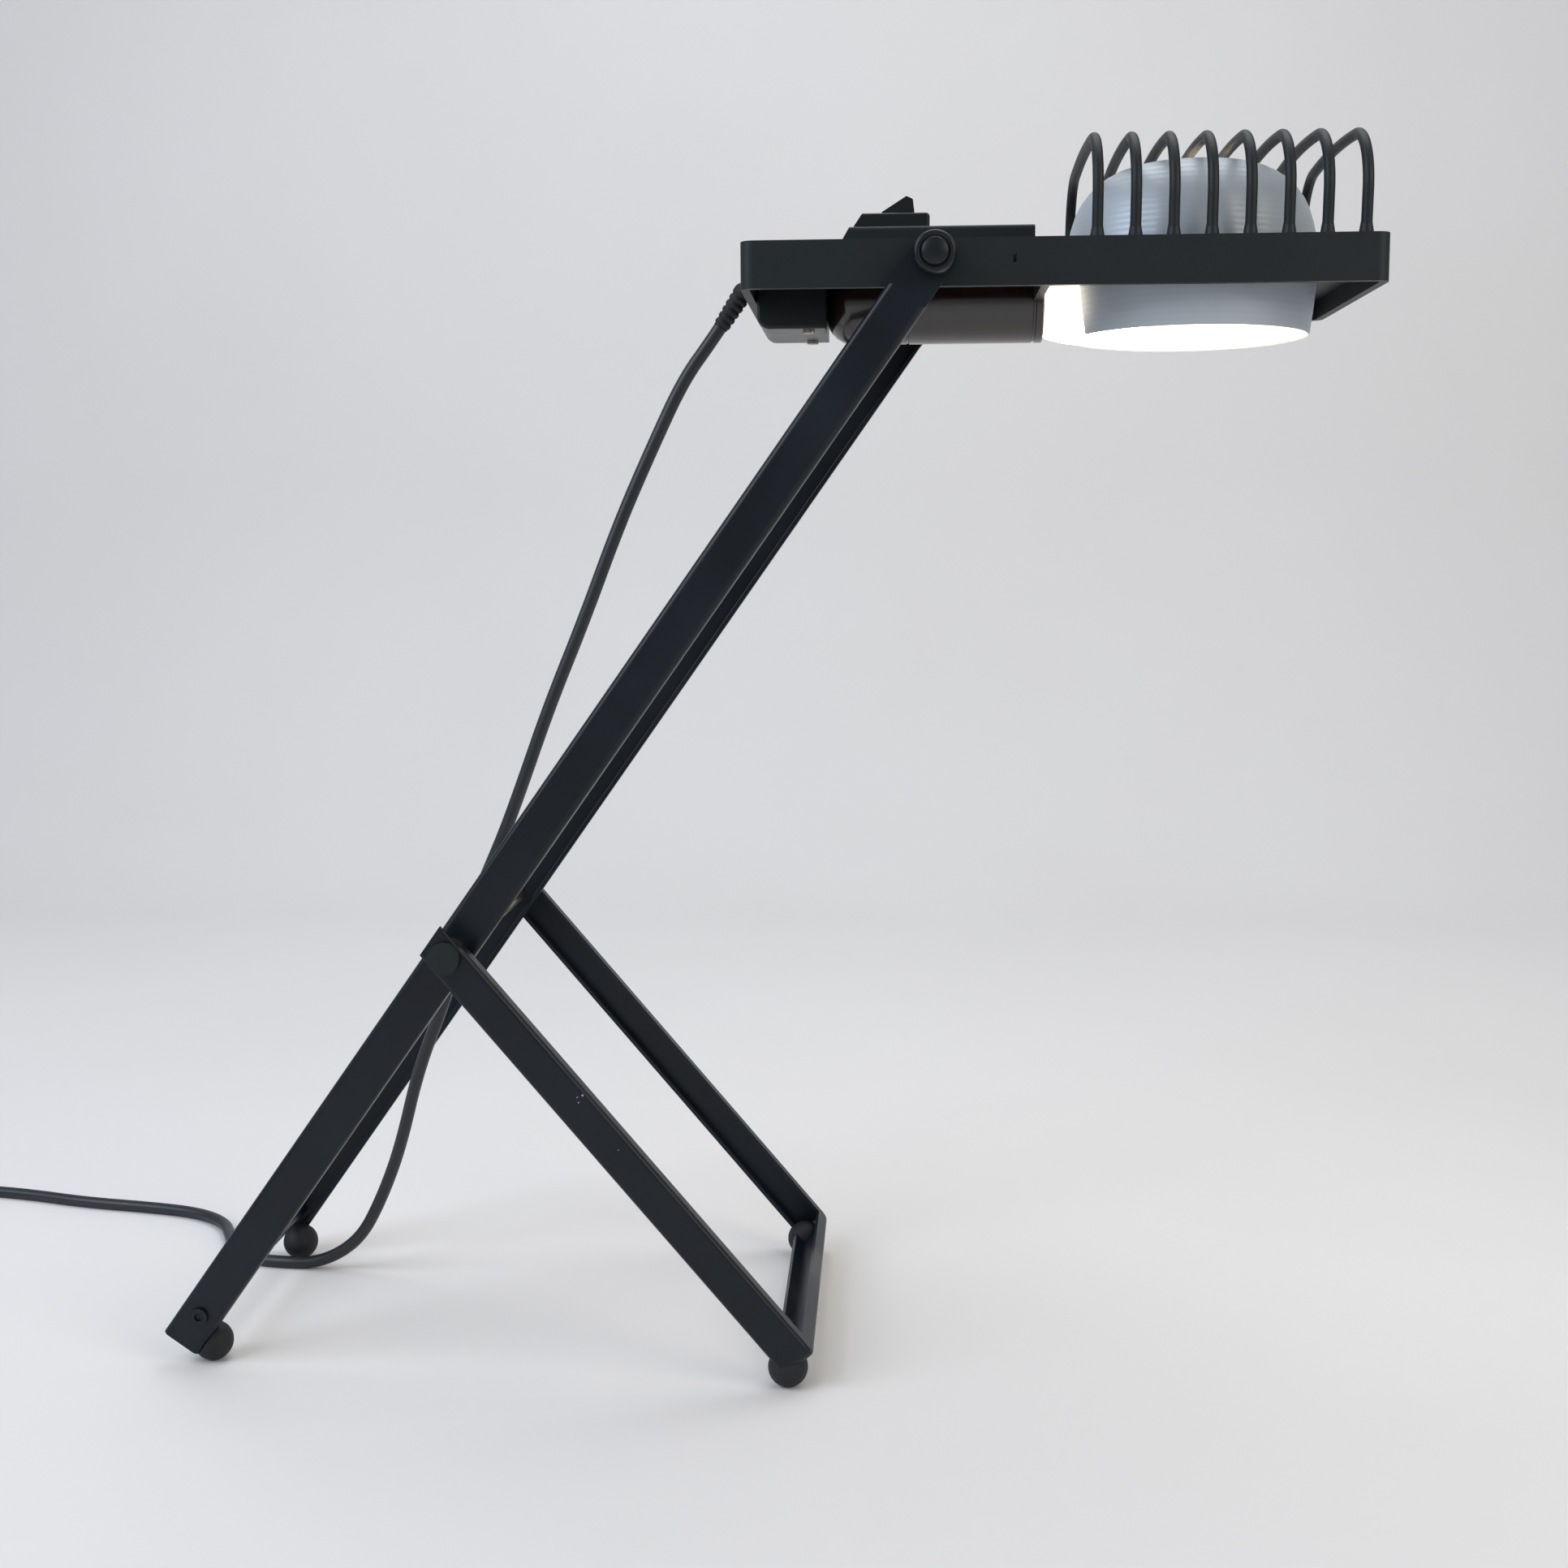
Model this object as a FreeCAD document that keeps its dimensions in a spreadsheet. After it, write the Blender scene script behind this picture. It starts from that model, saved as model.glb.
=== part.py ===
import FreeCAD, Part
import math
import os
import re

import Sketcher
from FreeCAD import Placement, Rotation, Vector

# All lengths are in millimetres and all angles in degrees.
# X runs from the lamp's heel to the front of its head, Z is up, and the
# middle plane of the lamp is Y = 0, with the right-hand side at minus Y.
DIMENSIONS = [
    # the long arm, a pair of channel bars
    ("arm_angle", 54.6, "slope of the arm above the floor"),
    ("leg_pivot_height", 206.2, "floor to the axle of the legs"),
    ("arm_reach", 387.4, "leg axle to head pivot"),
    ("arm_web", 20, "width of a bar's web"),
    ("arm_flange", 7.5, "depth of a bar's flanges with the web"),
    ("arm_bend", 3, "outer bend radius of a bar"),
    ("arm_tab", 20, "flange end to head pivot"),
    ("sheet", 2, "steel sheet of arm and legs"),
    ("tie_rod_rise", 11.64, "ball foot to tie rod, up the arm"),
    ("tie_rod_radius", 4, "tie rod between the bars' lower ends"),
    ("screw_radius", 2.5, "screws of the tie rod"),
    ("screw_head_radius", 4.25, "heads of those screws"),
    # the leg frame, one bent U
    ("leg_angle", 49.8, "slope of the legs below level"),
    ("leg_web", 18, "width of the leg's web"),
    ("leg_flange", 8, "depth of the leg's flanges with the web"),
    ("leg_bend", 2.5, "outer bend radius of a leg"),
    ("leg_corner", 5.5, "corner radius where leg meets cross bar"),
    ("leg_tail_web", 16.2, "width of the flat tail behind the axle"),
    ("leg_tail_end", 1, "where the flanges begin, from the axle"),
    # axle, spacers, bushes and caps of the leg pivot
    ("axle_radius", 4, "leg axle"),
    ("running_gap", 0.05, "radial gap of a running fit"),
    ("side_gap", 0.15, "gap beside a part that turns"),
    ("spacer_radius", 6.5, "bright spacer between bar and leg"),
    ("spacer_length", 12.85, "length of that spacer"),
    ("bush_radius", 5.5, "nylon bush in the leg"),
    ("bush_flange_radius", 7, "flange of the nylon bush"),
    ("bush_flange", 1, "thickness of the bush flange"),
    ("cap_radius", 7.5, "cap on the axle's end"),
    ("cap_thickness", 3.4, "thickness of the cap"),
    # rubber ball feet
    ("foot_radius", 9.5, "ball foot"),
    ("foot_flat", 0.2, "how far the ball is flattened on the floor"),
    ("foot_gap", 0.05, "gap between foot and sheet"),
    ("arm_foot_drop", 11.7, "ball centre below the bar's middle line"),
    ("arm_foot_inset", 10.4, "ball centre inside the bar's outer face"),
    ("arm_foot_end", 5.76, "end of the bar beyond the ball's centre"),
    ("leg_foot_drop", 6.9, "ball centre below the leg's middle line"),
    ("leg_foot_inset", 8.6, "ball centre inside the leg's outer face"),
    ("leg_foot_end", 1.54, "outside of the cross bar beyond the ball's centre"),
    # head frame, measured from the head pivot
    ("head_rear", 87.5, "pivot to the rear of the rails"),
    ("head_front", 202, "pivot to the front of the rails"),
    ("reflector_room", 5.3, "reflector's bead to the inside of a rail"),
    ("rail_top", 8.6, "top of the rails above the pivot"),
    ("rail_drop", 12.6, "bottom of the rails below the pivot"),
    ("rail_wall", 4, "wall of the rails"),
    ("rail_corner", 6, "corner radius of the frame"),
    ("plate", 3, "thickness of plate and ledge"),
    ("plate_front", 48, "front end of the hollow under the plate"),
    ("opening_rear", 52, "rear end of the front opening"),
    ("pivot_hole_radius", 3.05, "hole for the pivot bolt"),
    # guard ribs
    ("rib_radius", 2.5, "guard rib"),
    ("rib_first", 72.7, "pivot to the first rib"),
    ("rib_pitch", 16.9, "rib to rib"),
    ("rib_count", 8, "number of ribs"),
    ("rib_inset", 3.3, "outside of the rail to the foot of a rib"),
    ("rib_rise", 49.5, "rail top to the middle of a rib's crown"),
    ("rib_lift", 0.25, "start of the round rod above the rail"),
    ("rib_lean", 4, "outward lean of a rib's legs"),
    ("rib_crown_radius", 500, "radius of a rib's crown"),
    ("rib_crown_angle", 5, "half of the angle that the crown covers"),
    ("rib_root_radius", 3.3, "flared root of a rib"),
    ("rib_root_height", 5, "height of the flared root"),
    # reflector, from its own axis and the pivot's height
    ("reflector_centre", 124, "pivot to the reflector's axis"),
    ("reflector_wall", 1, "spun sheet of the reflector"),
    ("mouth_taper", 3.3, "how much narrower the lower rim is than the seat"),
    ("mouth_drop", 29, "lower rim below the pivot"),
    ("seat_radius", 59.3, "reflector just under its bead"),
    ("bead_lip", 1.9, "how far the bead that rests on the ledge stands out"),
    ("shoulder_taper", 4.3, "how much narrower the dome's start is than the seat"),
    ("shoulder_height", 29, "height of the dome's start"),
    ("crown_radius", 22, "start of the flat crown"),
    ("crown_height", 50.5, "height of the crown"),
    ("vent_radius", 15, "vent hole in the crown"),
    ("notch_half_width", 22, "notch for the lampholder"),
    ("notch_top", 14, "top of the notch above the pivot"),
    # lampholder and bulb on one level axis
    ("lamp_axis_drop", 10, "lamp axis below the pivot"),
    ("barrel_radius", 20, "lampholder barrel"),
    ("barrel_rear", 50.2, "rear end of the barrel behind the pivot"),
    ("barrel_front", 53.5, "front rim of the barrel"),
    ("barrel_wall", 2, "wall of the barrel"),
    ("barrel_dome", 12, "rounding of the barrel's rear"),
    ("nipple_radius", 5, "threaded nipple behind the barrel"),
    ("shell_radius", 14.3, "outside of the screw shell"),
    ("bulb_cap_radius", 13.1, "crest of the bulb's screw cap"),
    ("bulb_rear", 24, "rear end of the bulb's screw cap"),
    ("bulb_neck", 48, "where cap meets bulb"),
    ("bulb_seam", 72, "where the white base meets the globe"),
    ("bulb_seam_radius", 21.5, "bulb at that seam"),
    ("bulb_front", 108, "front of the globe"),
    ("globe_radius", 22.5, "bulb globe"),
    # top housing and switch
    ("housing_rear", 47, "rear of the top housing behind the pivot"),
    ("housing_front", 48.4, "front of the top housing"),
    ("housing_half_width", 22, "half width of the top housing"),
    ("housing_top", 22.5, "top of the housing above the pivot"),
    ("housing_wall", 2.5, "wall of the housings"),
    ("bezel_rear", 38, "rear of the switch bezel behind the pivot"),
    ("bezel_front", 1, "front of the switch bezel behind the pivot"),
    ("bezel_half_width", 15, "half width of the bezel"),
    ("bezel_top", 29.9, "top of the bezel above the pivot"),
    ("bezel_draft", 5, "how far the bezel's rear leans in"),
    ("rocker_x", 16.1, "rocker pin behind the head pivot"),
    ("rocker_z", 27, "rocker pin above the head pivot"),
    ("rocker_half_length", 8.3, "rocker at its pin"),
    ("rocker_half_width", 10, "half width of the rocker"),
    ("rocker_gap", 0.5, "gap round the rocker"),
    ("rocker_crest", 11.4, "crest above the pin"),
    ("rocker_pin_radius", 1.25, "pin of the rocker"),
    # rear cover under the head
    ("cover_rear", 82.6, "rear of the lower cover behind the pivot"),
    ("cover_front", 50.4, "front of the lower cover behind the pivot"),
    ("cover_half_width", 30, "half width of the lower cover"),
    ("cover_drop", 25.5, "bottom of the lower cover below the pivot"),
    ("cover_corner", 6, "corner radius of the lower cover"),
    # head pivot hardware
    ("bolt_radius", 3, "pivot bolt"),
    ("pivot_bush_radius", 7, "bush between rail and bar"),
    ("pivot_gap", 6.5, "rail to the inside of the bar"),
    ("knob_radius", 9.3, "clamping knob"),
    ("knob_reach", 12, "outside of the bar to the knob's outer face"),
    ("knob_disc_radius", 6, "raised disc on the knob"),
    # mains cord
    ("gland_radius", 5, "collar of the gland in the rear wall"),
    ("gland_drop", 4, "gland below the pivot"),
    ("slot_x", 36, "small slot in the rail, from the pivot"),
    ("housing_slope", 8, "how far the rear of the housing leans in"),
    ("switch_floor", 11, "bottom of the switch above the pivot"),
    ("cord_radius", 3.3, "mains cord"),
    ("gland_length", 20, "tapered sleeve of the gland"),
    ("coil_outer", 41, "radius of the coil's outermost half turn"),
    ("coil_pitch", 7.3, "turn to turn"),
    ("coil_climb", 7.2, "layer to layer"),
    ("lead_climb", 66, "run in which the cord climbs from the coil to the plug"),
    ("lead_level", 36, "level run into the plug"),
    ("plug_height", 13.5, "axis of the plug above the floor"),
    ("plug_half_width", 18, "half width of the plug"),
    ("plug_length", 42, "length of the plug's body"),
    ("plug_pin_radius", 2.4, "plug pin"),
    ("plug_pin_length", 19, "plug pin outside the body"),
    ("plug_root_radius", 1.9, "moulded-in root of a pin"),
    ("plug_root_depth", 11, "depth of that root in the body"),
    ("plug_root_step", 0.3, "where the full pin begins, outside the body"),
    ("plug_pin_spread", 9.5, "plug axis to pin axis"),
]

# Sizes that follow from the ones above.
DERIVED = [
    ("foot_height", "foot_radius - foot_flat", "ball centre above the floor"),
    ("arm_foot_along", "(leg_pivot_height - foot_height - arm_foot_drop * cos(arm_angle))"
     " / sin(arm_angle)", "leg axle to the arm's ball centre, down the arm"),
    ("leg_foot_along", "(leg_pivot_height - foot_height - leg_foot_drop * cos(leg_angle))"
     " / sin(leg_angle)", "leg axle to the leg's ball centre, down the leg"),
    ("arm_tail", "arm_foot_along + arm_foot_end", "leg axle to the arm's lower end"),
    ("tie_rod_along", "arm_foot_along - tie_rod_rise", "leg axle to tie rod, down the arm"),
    ("leg_reach", "leg_foot_along + leg_foot_end", "leg axle to the outside of the cross bar"),
    ("bead_radius", "seat_radius + bead_lip", "bead that rests on the ledge"),
    ("mouth_radius", "seat_radius - mouth_taper", "reflector's lower rim"),
    ("shoulder_radius", "seat_radius - shoulder_taper", "start of the dome"),
    ("head_half_width", "bead_radius + reflector_room + rail_wall",
     "middle plane to the outside of a rail"),
    ("rib_spread", "head_half_width - rib_inset", "middle plane to the foot of a rib"),
    ("arm_half_width", "head_half_width + pivot_gap + sheet", "middle plane to the outside of a bar"),
    ("leg_half_width", "arm_half_width + spacer_length + side_gap + bush_flange + sheet",
     "middle plane to the outside of a leg"),
    ("arm_foot_spread", "arm_half_width - arm_foot_inset", "middle plane to the arm's ball centre"),
    ("leg_foot_spread", "leg_half_width - leg_foot_inset", "middle plane to the leg's ball centre"),
    ("knob_out", "arm_half_width + knob_reach", "middle plane to the knob's outer face"),
]
NAMES = [row[0] for row in DIMENSIONS + DERIVED]

# Places worked out from the sheet. The lamp's length is centred on the origin.
LEG_PIVOT_X = ("((arm_tail * cos(arm_angle) + arm_web / 2 * sin(arm_angle)"
               " - arm_reach * cos(arm_angle) - head_front) / 2)")
HEAD_X = f"({LEG_PIVOT_X} + arm_reach * cos(arm_angle))"
HEAD_Z = "(leg_pivot_height + arm_reach * sin(arm_angle))"

SIDES = {"right": "-1", "left": "1"}

document = FreeCAD.newDocument("desk_lamp")
sheet = document.addObject("Spreadsheet::Sheet", "dims")
for row, (name, number, note) in enumerate(DIMENSIONS + DERIVED, start=1):
    sheet.set(f"A{row}", note)
    sheet.set(f"B{row}", f"={number}")
    sheet.setAlias(f"B{row}", name)
document.recompute()
parts = []


# An expression with every name of the sheet written as its cell.
def in_sheet(text):
    def cell(word):
        return "dims." + word[0] if word[0] in NAMES else word[0]
    return re.sub(r"[a-z_]+", cell, text)


def value(text):
    return float(sheet.evalExpression(in_sheet(text)))


def bind(item, setting, text):
    item.setExpression(setting, in_sheet(text))


# ---- sketches and features ----

def new_body(name):
    return document.addObject("PartDesign::Body", name)


def new_sketch(body, name, plane, offset="0"):
    sketch = body.newObject("Sketcher::SketchObject", name)
    support = next(item for item in body.Origin.OriginFeatures if item.Role == plane)
    sketch.AttachmentSupport = [(support, "")]
    sketch.MapMode = "FlatFace"
    bind(sketch, "AttachmentOffset.Base.z", offset)
    return sketch


def pin_point(sketch, geometry, end, across, up):
    for kind, text in (("DistanceX", across), ("DistanceY", up)):
        number = sketch.addConstraint(Sketcher.Constraint(kind, -1, 1, geometry, end, value(text)))
        bind(sketch, f"Constraints[{number}]", text)


def bind_radius(sketch, geometry, text):
    number = sketch.addConstraint(Sketcher.Constraint("Radius", geometry, value(text)))
    bind(sketch, f"Constraints[{number}]", text)


# The arc from start to end; a minus radius runs clockwise.
def arc_between(start, end, radius):
    chord = end - start
    middle = (start + end) * 0.5
    side = Vector(-chord.y, chord.x, 0).normalize() * math.copysign(1, radius)
    reach = math.sqrt(max(radius ** 2 - (chord.Length / 2) ** 2, 0))
    top = middle + side * (reach - abs(radius))
    return Part.Arc(start, top, end)


# A closed outline through the points; a third value is the radius of the
# arc that ends at the point, minus for clockwise.
def outline(sketch, steps):
    points = [Vector(value(step[0]), value(step[1]), 0) for step in steps]
    first = len(sketch.Geometry)
    ends = []
    for index, step in enumerate(steps):
        start, end = points[index - 1], points[index]
        if len(step) == 3:
            radius = value(step[2])
            sketch.addGeometry(arc_between(start, end, radius))
            ends.append((1, 2) if radius > 0 else (2, 1))
        else:
            sketch.addGeometry(Part.LineSegment(start, end))
            ends.append((1, 2))
    for index in range(len(steps)):
        follower = (index + 1) % len(steps)
        sketch.addConstraint(Sketcher.Constraint(
            "Coincident", first + index, ends[index][1], first + follower, ends[follower][0]))
    for index, step in enumerate(steps):
        pin_point(sketch, first + index, ends[index][1], step[0], step[1])
        if len(step) == 3:
            bind_radius(sketch, first + index, step[2].lstrip("-"))


def rectangle(sketch, left, low, right, high):
    outline(sketch, [(left, low), (right, low), (right, high), (left, high)])


def circle(sketch, across, up, radius):
    number = sketch.addGeometry(
        Part.Circle(Vector(value(across), value(up), 0), Vector(0, 0, 1), value(radius)))
    pin_point(sketch, number, 3, across, up)
    bind_radius(sketch, number, radius)


# Grow or cut from a sketch, half of the length to each side of it.
def extrude(body, kind, sketch, length):
    feature = body.newObject("PartDesign::" + kind, f"{sketch.Name}_{kind.lower()}")
    feature.Profile = sketch
    feature.SideType = "Symmetric"
    bind(feature, "Length", length)
    sketch.Visibility = False
    document.recompute()
    return feature


def revolve(body, kind, sketch, axis):
    feature = body.newObject("PartDesign::" + kind, f"{sketch.Name}_{kind.lower()}")
    feature.Profile = sketch
    feature.ReferenceAxis = (sketch, [axis])
    feature.Angle = 360
    sketch.Visibility = False
    document.recompute()
    return feature


# Round the edges of the body's last feature that the test picks out.
def round_edges(body, name, radius, test):
    base = body.Tip
    edges = [f"Edge{number}" for number, edge in enumerate(base.Shape.Edges, start=1) if test(edge)]
    feature = body.newObject("PartDesign::Fillet", name)
    feature.Base = (base, edges)
    bind(feature, "Radius", radius)
    document.recompute()
    return feature


def near(first, second, slack=0.01):
    return abs(first - second) < slack


# True for a straight edge along the named axis.
def runs_along(edge, axis):
    if edge.Curve.TypeId != "Part::GeomLine":
        return False
    return abs(abs(getattr(edge.Curve.Direction, axis)) - 1) < 1e-6


def middle_of(edge):
    return edge.valueAt((edge.FirstParameter + edge.LastParameter) / 2)


# ---- primitives ----

AXES = {"X": Rotation(Vector(0, 1, 0), 90), "Y": Rotation(Vector(1, 0, 0), -90), "Z": Rotation()}


def place(item, x="0", y="0", z="0", axis="Z"):
    item.Placement = Placement(Vector(), AXES[axis])
    bind(item, "Placement.Base.x", x)
    bind(item, "Placement.Base.y", y)
    bind(item, "Placement.Base.z", z)
    return item


def cylinder(name, radius, height, x="0", y="0", z="0", axis="Y"):
    item = document.addObject("Part::Cylinder", name)
    bind(item, "Radius", radius)
    bind(item, "Height", height)
    return place(item, x, y, z, axis)


def cone(name, lower, upper, height, x="0", y="0", z="0", axis="Z"):
    item = document.addObject("Part::Cone", name)
    bind(item, "Radius1", lower)
    bind(item, "Radius2", upper)
    bind(item, "Height", height)
    return place(item, x, y, z, axis)


def ball(name, radius, x="0", y="0", z="0"):
    item = document.addObject("Part::Sphere", name)
    bind(item, "Radius", radius)
    return place(item, x, y, z)


def box(name, left, right, near_side, far_side, low, high):
    item = document.addObject("Part::Box", name)
    bind(item, "Length", f"{right} - ({left})")
    bind(item, "Width", f"{far_side} - ({near_side})")
    bind(item, "Height", f"{high} - ({low})")
    return place(item, left, near_side, low)


def fuse(name, *items):
    item = document.addObject("Part::MultiFuse", name)
    item.Shapes = list(items)
    return item


def cut(name, base, *tools):
    item = document.addObject("Part::Cut", name)
    item.Base = base
    item.Tool = tools[0] if len(tools) == 1 else fuse(name + "_tools", *tools)
    return item


def group(name, *items):
    item = document.addObject("Part::Compound", name)
    item.Links = list(items)
    return item


def turn(item, angle, clockwise):
    item.Placement = Placement(item.Placement.Base, Rotation(Vector(0, 1 if clockwise else -1, 0), 1))
    bind(item, "Placement.Rotation.Angle", angle)


def hang(item, x, z):
    bind(item, "Placement.Base.x", x)
    bind(item, "Placement.Base.z", z)


# Finished sub-parts stand on the arm, on the legs, on the head or on the floor.
def on_arm(item):
    turn(item, "arm_angle", clockwise=False)
    hang(item, LEG_PIVOT_X, "leg_pivot_height")
    parts.append(item)


def on_legs(item):
    turn(item, "leg_angle", clockwise=True)
    hang(item, LEG_PIVOT_X, "leg_pivot_height")
    parts.append(item)


def on_head(item):
    hang(item, HEAD_X, HEAD_Z)
    parts.append(item)


def on_floor(item):
    parts.append(item)


# ---- arm ----

def make_arm_bar(side, sign):
    body = new_body(f"arm_bar_{side}")
    middle = f"({sign}) * (arm_half_width - arm_flange / 2)"
    bar = new_sketch(body, f"bar_{side}", "XZ_Plane", f"-({middle})")
    rectangle(bar, "-arm_tail", "-arm_web / 2", "arm_reach - arm_tab", "arm_web / 2")
    extrude(body, "Pad", bar, "arm_flange")
    outside = value("arm_half_width")
    round_edges(body, f"bend_{side}", "arm_bend",
                lambda edge: runs_along(edge, "x") and near(abs(middle_of(edge).y), outside))

    channel_middle = f"({sign}) * (arm_half_width - sheet - arm_flange / 2)"
    channel = new_sketch(body, f"channel_{side}", "XZ_Plane", f"-({channel_middle})")
    rectangle(channel, "-arm_tail - 1", "sheet - arm_web / 2", "arm_reach - arm_tab + 1",
              "arm_web / 2 - sheet")
    extrude(body, "Pocket", channel, "arm_flange")
    inside = value("arm_half_width - sheet")
    round_edges(body, f"inner_bend_{side}", "arm_bend - sheet",
                lambda edge: runs_along(edge, "x") and near(abs(middle_of(edge).y), inside)
                and near(abs(middle_of(edge).z), value("arm_web / 2 - sheet")))

    tab = new_sketch(body, f"tab_{side}", "XZ_Plane", f"-({sign}) * (arm_half_width - sheet / 2)")
    outline(tab, [("arm_reach - arm_tab - 1", "-arm_web / 2"), ("arm_reach", "-arm_web / 2"),
                  ("arm_reach + arm_web / 2", "0", "arm_web / 2"),
                  ("arm_reach", "arm_web / 2", "arm_web / 2"),
                  ("arm_reach - arm_tab - 1", "arm_web / 2")])
    extrude(body, "Pad", tab, "sheet")

    holes = new_sketch(body, f"holes_{side}", "XZ_Plane", f"-({middle})")
    circle(holes, "0", "0", "axle_radius + running_gap")
    circle(holes, "arm_reach", "0", "pivot_hole_radius")
    circle(holes, "-tie_rod_along", "0", "screw_radius + running_gap")
    extrude(body, "Pocket", holes, "3 * arm_flange")
    on_arm(body)


def make_tie_rod():
    half = "(arm_half_width - sheet)"
    rod = cylinder("tie_rod_bar", "tie_rod_radius", f"2 * {half}", "-tie_rod_along", f"-{half}")
    drilled = cut("tie_rod_drilled", rod, *[
        cylinder(f"tie_rod_bore_{side}", "screw_radius + running_gap", "14", "-tie_rod_along",
                 f"({sign}) * ({half} - 7) - 7")
        for side, sign in SIDES.items()])
    on_arm(group("foot_tie_rod", drilled))

    screws = []
    for side, sign in SIDES.items():
        shank = cylinder(f"rod_shank_{side}", "screw_radius", "14", "-tie_rod_along",
                         f"({sign}) * (arm_half_width - 6) - 7")
        head = cylinder(f"rod_head_{side}", "screw_head_radius", "1.6", "-tie_rod_along",
                        f"({sign}) * (arm_half_width + 0.85) - 0.8")
        socket = cylinder(f"rod_socket_{side}", "2", "3", "-tie_rod_along",
                          f"({sign}) * (arm_half_width + 1.9) - 1.5")
        screws.append(cut(f"rod_screw_{side}", fuse(f"rod_blank_{side}", shank, head), socket))
    on_arm(group("foot_rod_screws", *screws))


# ---- leg pivot ----

def make_leg_pivot():
    bore = "axle_radius + running_gap"
    web_inside = "(leg_half_width - sheet)"
    axle_half = "(leg_half_width + side_gap + cap_thickness - 1.4)"
    on_arm(group("leg_axle", cylinder("axle_bar", "axle_radius", f"2 * {axle_half}", "0",
                                      f"-{axle_half}")))
    spacers, bushes, caps = [], [], []
    for side, sign in SIDES.items():
        length = f"({web_inside} - bush_flange - side_gap - arm_half_width)"
        centre = f"({sign}) * (arm_half_width + {length} / 2)"
        spacers.append(cut(
            f"spacer_{side}",
            cylinder(f"spacer_tube_{side}", "spacer_radius", length, "0", f"{centre} - {length} / 2"),
            cylinder(f"spacer_bore_{side}", bore, f"{length} + 2", "0", f"{centre} - {length} / 2 - 1")))

        flange = cylinder(f"bush_flange_{side}", "bush_flange_radius", "bush_flange", "0",
                          f"({sign}) * ({web_inside} - bush_flange / 2) - bush_flange / 2")
        sleeve = cylinder(f"bush_sleeve_{side}", "bush_radius - foot_gap", "sheet + bush_flange", "0",
                          f"({sign}) * (leg_half_width - (sheet + bush_flange) / 2)"
                          " - (sheet + bush_flange) / 2")
        bushes.append(cut(f"bush_{side}", fuse(f"bush_blank_{side}", flange, sleeve),
                          cylinder(f"bush_bore_{side}", bore, "8", "0",
                                   f"({sign}) * leg_half_width - 4")))

        cap_middle = f"({sign}) * (leg_half_width + side_gap + cap_thickness / 2)"
        dome = cylinder(f"cap_disc_{side}", "cap_radius", "cap_thickness", "0",
                        f"{cap_middle} - cap_thickness / 2")
        recess = cylinder(f"cap_bore_{side}", bore, "cap_thickness", "0",
                          f"({sign}) * (leg_half_width + side_gap + cap_thickness / 2 - 1.3)"
                          " - cap_thickness / 2")
        caps.append(cut(f"cap_{side}", dome, recess))
    on_arm(group("leg_axle_spacers", *spacers))
    on_legs(group("leg_pivot_bushes", *bushes))
    on_arm(group("leg_pivot_caps", *caps))


# ---- leg frame ----

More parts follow.
